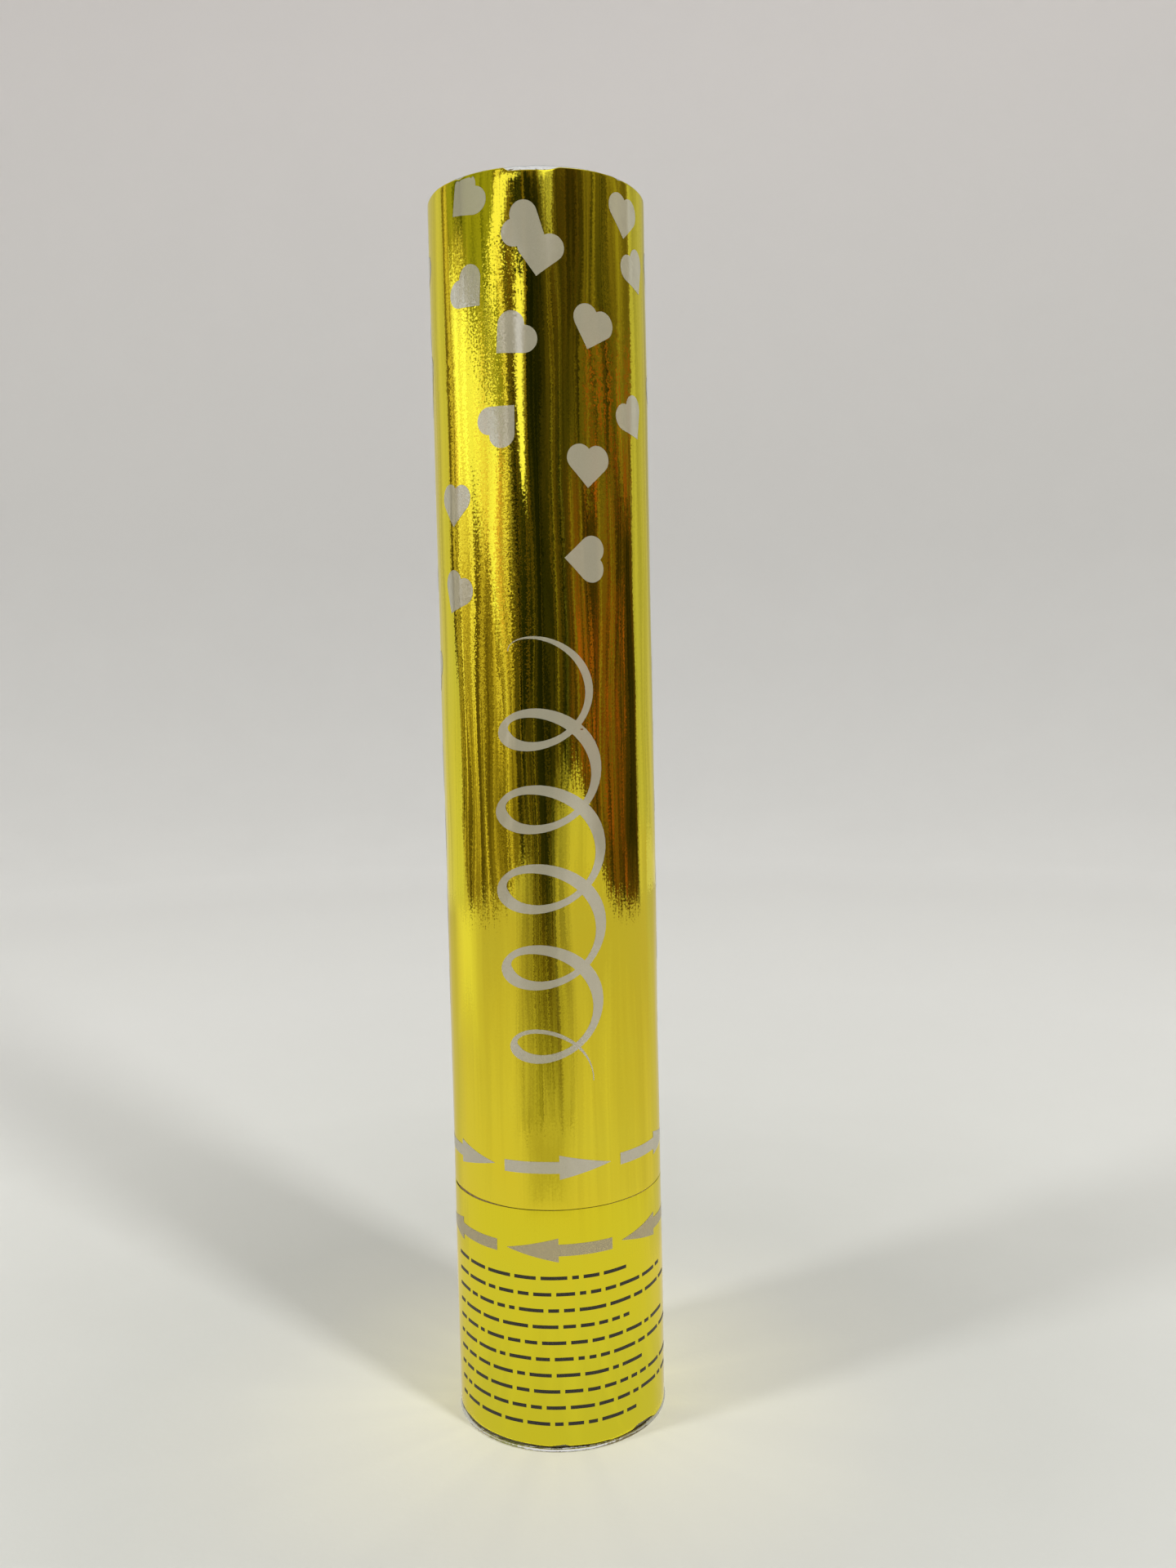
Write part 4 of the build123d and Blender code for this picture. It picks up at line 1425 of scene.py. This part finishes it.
def chance(low, high, number):
    """A random number for each slip, between low and high; number picks the draw."""
    inputs = {"Seed": sums(slip_tree, "ADD", given["Seed"], float(number)), 2: low, 3: high}
    return add_node(slip_tree, "FunctionNodeRandomValue", inputs, data_type="FLOAT").outputs[1]


def either_way(most, number):
    """A random number for each slip, up to most one way or the other."""
    return chance(sums(slip_tree, "MULTIPLY", most, -1.0), most, number)


offset = vector_of(slip_tree, Y=given["Pitch"])
line = shape(slip_tree, "MeshLine", {"Count": given["Slips"], "Offset": offset})
nudge = vector_of(slip_tree, X=either_way(given["Shift"], 0), Z=either_way(given["Shift"], 100))
uneven = shape(slip_tree, "SetPosition", {"Geometry": line, "Offset": nudge})
shades = {"Geometry": uneven, "Name": "shade", "Value": chance(0.0, 1.0, 200)}
shaded = shape(slip_tree, "StoreNamedAttribute", shades, data_type="FLOAT", domain="POINT")
slip = shape(slip_tree, "MeshCube", {
    "Size": given["Size"], "Vertices X": 2, "Vertices Y": 2, "Vertices Z": SLIP_ROWS,
})
lean = vector_of(slip_tree, Y=either_way(given["Turn"], 300))
fanned = shape(slip_tree, "InstanceOnPoints", {"Points": shaded, "Instance": slip, "Rotation": lean})
real = shape(slip_tree, "RealizeInstances", {"Geometry": fanned})
along = sums(slip_tree, "MULTIPLY", parts_of(slip_tree, shape(slip_tree, "InputPosition"))["Z"], WAVE_RATE)
swing = sums(slip_tree, "SINE", sums(slip_tree, "MULTIPLY_ADD", stored(slip_tree, "shade"), WAVE_SHIFT, along))
bow = vector_of(slip_tree, Y=sums(slip_tree, "MULTIPLY", swing, given["Wave"]))
placed = vectors(slip_tree, "ADD", bow, given["Corner"])
bent = shape(slip_tree, "SetPosition", {"Geometry": real, "Offset": placed})
papered = shape(slip_tree, "SetMaterial", {"Geometry": bent, "Material": given["Paper"]})
slip_tree.links.new(papered, out.inputs[0])
print("slip_stack:", len(slip_tree.nodes), "nodes")

# %% Tissue papers and the twelve stacks
SLIPS = 30
SLIP_THICKNESS = 0.16
SLIP_SHIFT = 0.45
SLIP_TURN = math.radians(0.9)
SLIP_WAVE = 0.2
SEED_STEP = 7
PAPER_COLOURS = {
    "pink": ((0.60, 0.03, 0.13), (0.78, 0.10, 0.26)),
    "blue": ((0.02, 0.13, 0.45), (0.05, 0.26, 0.62)),
    "yellow": ((0.80, 0.48, 0.02), (0.92, 0.66, 0.06)),
    "green": ((0.03, 0.26, 0.05), (0.08, 0.42, 0.11)),
}


def tissue_paper(name, deep, bright):
    """Dyed tissue: each slip took the dye a little differently, and fibres show."""
    material, tree, shader = new_finish(name)
    shade = add_node(tree, "ShaderNodeAttribute", attribute_name="shade").outputs["Fac"]
    fibre = flecks(tree, 0.6, 4.0, along=(1.0, 1.0, 0.3))
    tone = sums(tree, "MULTIPLY_ADD", fibre, 0.5, sums(tree, "MULTIPLY", shade, 0.6))
    fill(tree, shader, {
        "Base Color": colour_ramp(tree, tone, [(0.1, deep), (0.9, bright)]),
        "Roughness": spread(tree, fibre, 0.7, 0.9),
        "Normal": bump(tree, fibre, 0.03),
    })
    return material


papers = {name: tissue_paper(name + "_tissue", *tones) for name, tones in PAPER_COLOURS.items()}
colours = list(PAPER_COLOURS)
stacks = [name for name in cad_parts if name.startswith("confetti_bundle_")]
swing = math.sin(SLIP_TURN)
for number, node in enumerate(sorted(stacks, key=lambda name: int(name.split("_")[-1]))):
    low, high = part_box(node)
    # Each layer starts with the next colour
    colour = colours[(number + number // len(colours)) % len(colours)]
    wide, tall = high.x - low.x - 2 * SLIP_SHIFT * MM, high.z - low.z - 2 * SLIP_SHIFT * MM
    slip_size = Vector((wide - tall * swing, SLIP_THICKNESS * MM, tall - wide * swing))
    pitch = (high.y - low.y - (SLIP_THICKNESS + 2 * SLIP_WAVE) * MM) / (SLIPS - 1)
    front = low.y + (SLIP_THICKNESS / 2 + SLIP_WAVE) * MM
    stack = run_tree(
        "slips_%d" % (number + 1), slip_tree, bpy.data.meshes.new("slips"), Slips=SLIPS, Pitch=pitch, Size=slip_size,
        Corner=Vector(((low.x + high.x) / 2, front, (low.z + high.z) / 2)), Shift=SLIP_SHIFT * MM, Turn=SLIP_TURN,
        Wave=SLIP_WAVE * MM, Seed=number * SEED_STEP, Paper=papers[colour],
    )
    finish_piece(stack, "charge", "confetti_" + colour, None, node)

# %% [markdown]
# ## Finishes of the inner parts
# The CAD solids already have the right shape, so they stay and only get better materials. Wound paper shows the
# helical joint of its plies, board shows flecks of recycled fibre, and moulded, drawn and ground parts show how they
# were made. All patterns are in real millimetres on Object coordinates.

# %% Paper and board
PLY_WIDTH = 42.0
PLY_SLOPE = 0.55
PLY_JOINT = 1 / 60
SPECK = 0.13

wound_paper, tree, shader = new_finish("wound_paper")
arc, height = round_the_tube(tree)
turns_up = sums(tree, "DIVIDE", sums(tree, "MULTIPLY_ADD", arc, PLY_SLOPE, height), PLY_WIDTH)
ply_edge = spread(tree, sums(tree, "PINGPONG", turns_up, 0.5), 0.0, 1.0, 0.0, PLY_JOINT)
fibre = flecks(tree, 0.8, 5.0, 0.7, along=(1.0, 1.0, 0.35))
tone = sums(tree, "MULTIPLY", sums(tree, "MULTIPLY_ADD", ply_edge, 0.35, 0.65), fibre)
kraft_tones = [(0.15, (0.13, 0.08, 0.04)), (0.45, (0.36, 0.25, 0.14)), (0.75, (0.50, 0.37, 0.23))]
fill(tree, shader, {
    "Base Color": colour_ramp(tree, tone, kraft_tones),
    "Roughness": spread(tree, fibre, 0.75, 0.95),
    "Normal": bump(tree, sums(tree, "ADD", ply_edge, sums(tree, "MULTIPLY", fibre, 0.4)), 0.12),
})

grey_board, tree, shader = new_finish("grey_board")
pulp = flecks(tree, 0.7, 5.0, 0.7)
speck = sums(tree, "LESS_THAN", cells(tree, 0.9), SPECK)
tone = sums(tree, "SUBTRACT", pulp, sums(tree, "MULTIPLY", speck, 0.35))
board_tones = [(0.1, (0.08, 0.07, 0.06)), (0.45, (0.26, 0.24, 0.20)), (0.7, (0.36, 0.34, 0.29))]
fill(tree, shader, {
    "Base Color": colour_ramp(tree, tone, board_tones),
    "Roughness": spread(tree, pulp, 0.8, 0.96),
    "Normal": bump(tree, pulp, 0.1),
})
print("paper and board:", wound_paper.name, grey_board.name)

# %% Plastics, rubber and metals


def moulded(name, deep, bright, rough, texture):
    """Moulded plastic or rubber: flow marks in the tone, a spark-eroded skin of texture millimetres in the bump."""
    material, tree, shader = new_finish(name)
    skin = flecks(tree, texture, 2.0)
    fill(tree, shader, {
        "Base Color": colour_ramp(tree, flecks(tree, 14), two_tone(deep, bright)),
        "Roughness": spread(tree, skin, rough - 0.07, rough + 0.07),
        "Normal": bump(tree, skin, texture * 0.1),
    })
    return material


def worked_metal(name, deep, bright, rough, along):
    """Bright metal with fine lines; along stretches them, as (x, y, z) shares of the grain."""
    material, tree, shader = new_finish(name)
    lines = flecks(tree, 0.25, 4.0, 0.6, along)
    fill(tree, shader, {
        "Base Color": colour_ramp(tree, lines, two_tone(deep, bright)),
        "Metallic": 1.0,
        "Roughness": spread(tree, lines, rough - 0.06, rough + 0.1),
        "Normal": bump(tree, lines, 0.01),
    })
    return material


white_plastic = moulded("white_plastic", (0.70, 0.69, 0.66), (0.76, 0.755, 0.74), 0.38, 0.5)
red_plastic = moulded("red_plastic", (0.42, 0.016, 0.010), (0.50, 0.024, 0.014), 0.34, 0.5)
natural_plastic = moulded("natural_plastic", (0.56, 0.53, 0.42), (0.64, 0.61, 0.50), 0.42, 0.7)
black_rubber = moulded("black_rubber", (0.012, 0.012, 0.013), (0.022, 0.022, 0.023), 0.66, 0.3)
drawn_aluminium = worked_metal("drawn_aluminium", (0.62, 0.62, 0.63), (0.78, 0.78, 0.79), 0.28, (1.0, 1.0, 0.03))
ground_steel = worked_metal("ground_steel", (0.42, 0.42, 0.43), (0.58, 0.58, 0.59), 0.24, (0.05, 1.0, 1.0))

# %% Finish the CAD nodes that stay
CAD_FINISHES = {
    wound_paper: ("base_tube", "barrel_tube", "pivot_sleeve"),
    grey_board: ("foot_card", "wad", "mouth_card"),
    white_plastic: ("can_cradle", "launch_head"),
    red_plastic: ("cam_collar", "valve_plug"),
    natural_plastic: ("thrust_washer",),
    black_rubber: ("fill_plug", "neck_seal", "plug_ring"),
    drawn_aluminium: ("air_can",),
    ground_steel: ("cross_pin",),
}
for finish, nodes in CAD_FINISHES.items():
    for node in nodes:
        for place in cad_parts[node].material_slots:
            place.material = finish
print("finished CAD nodes:", sum(len(nodes) for nodes in CAD_FINISHES.values()))
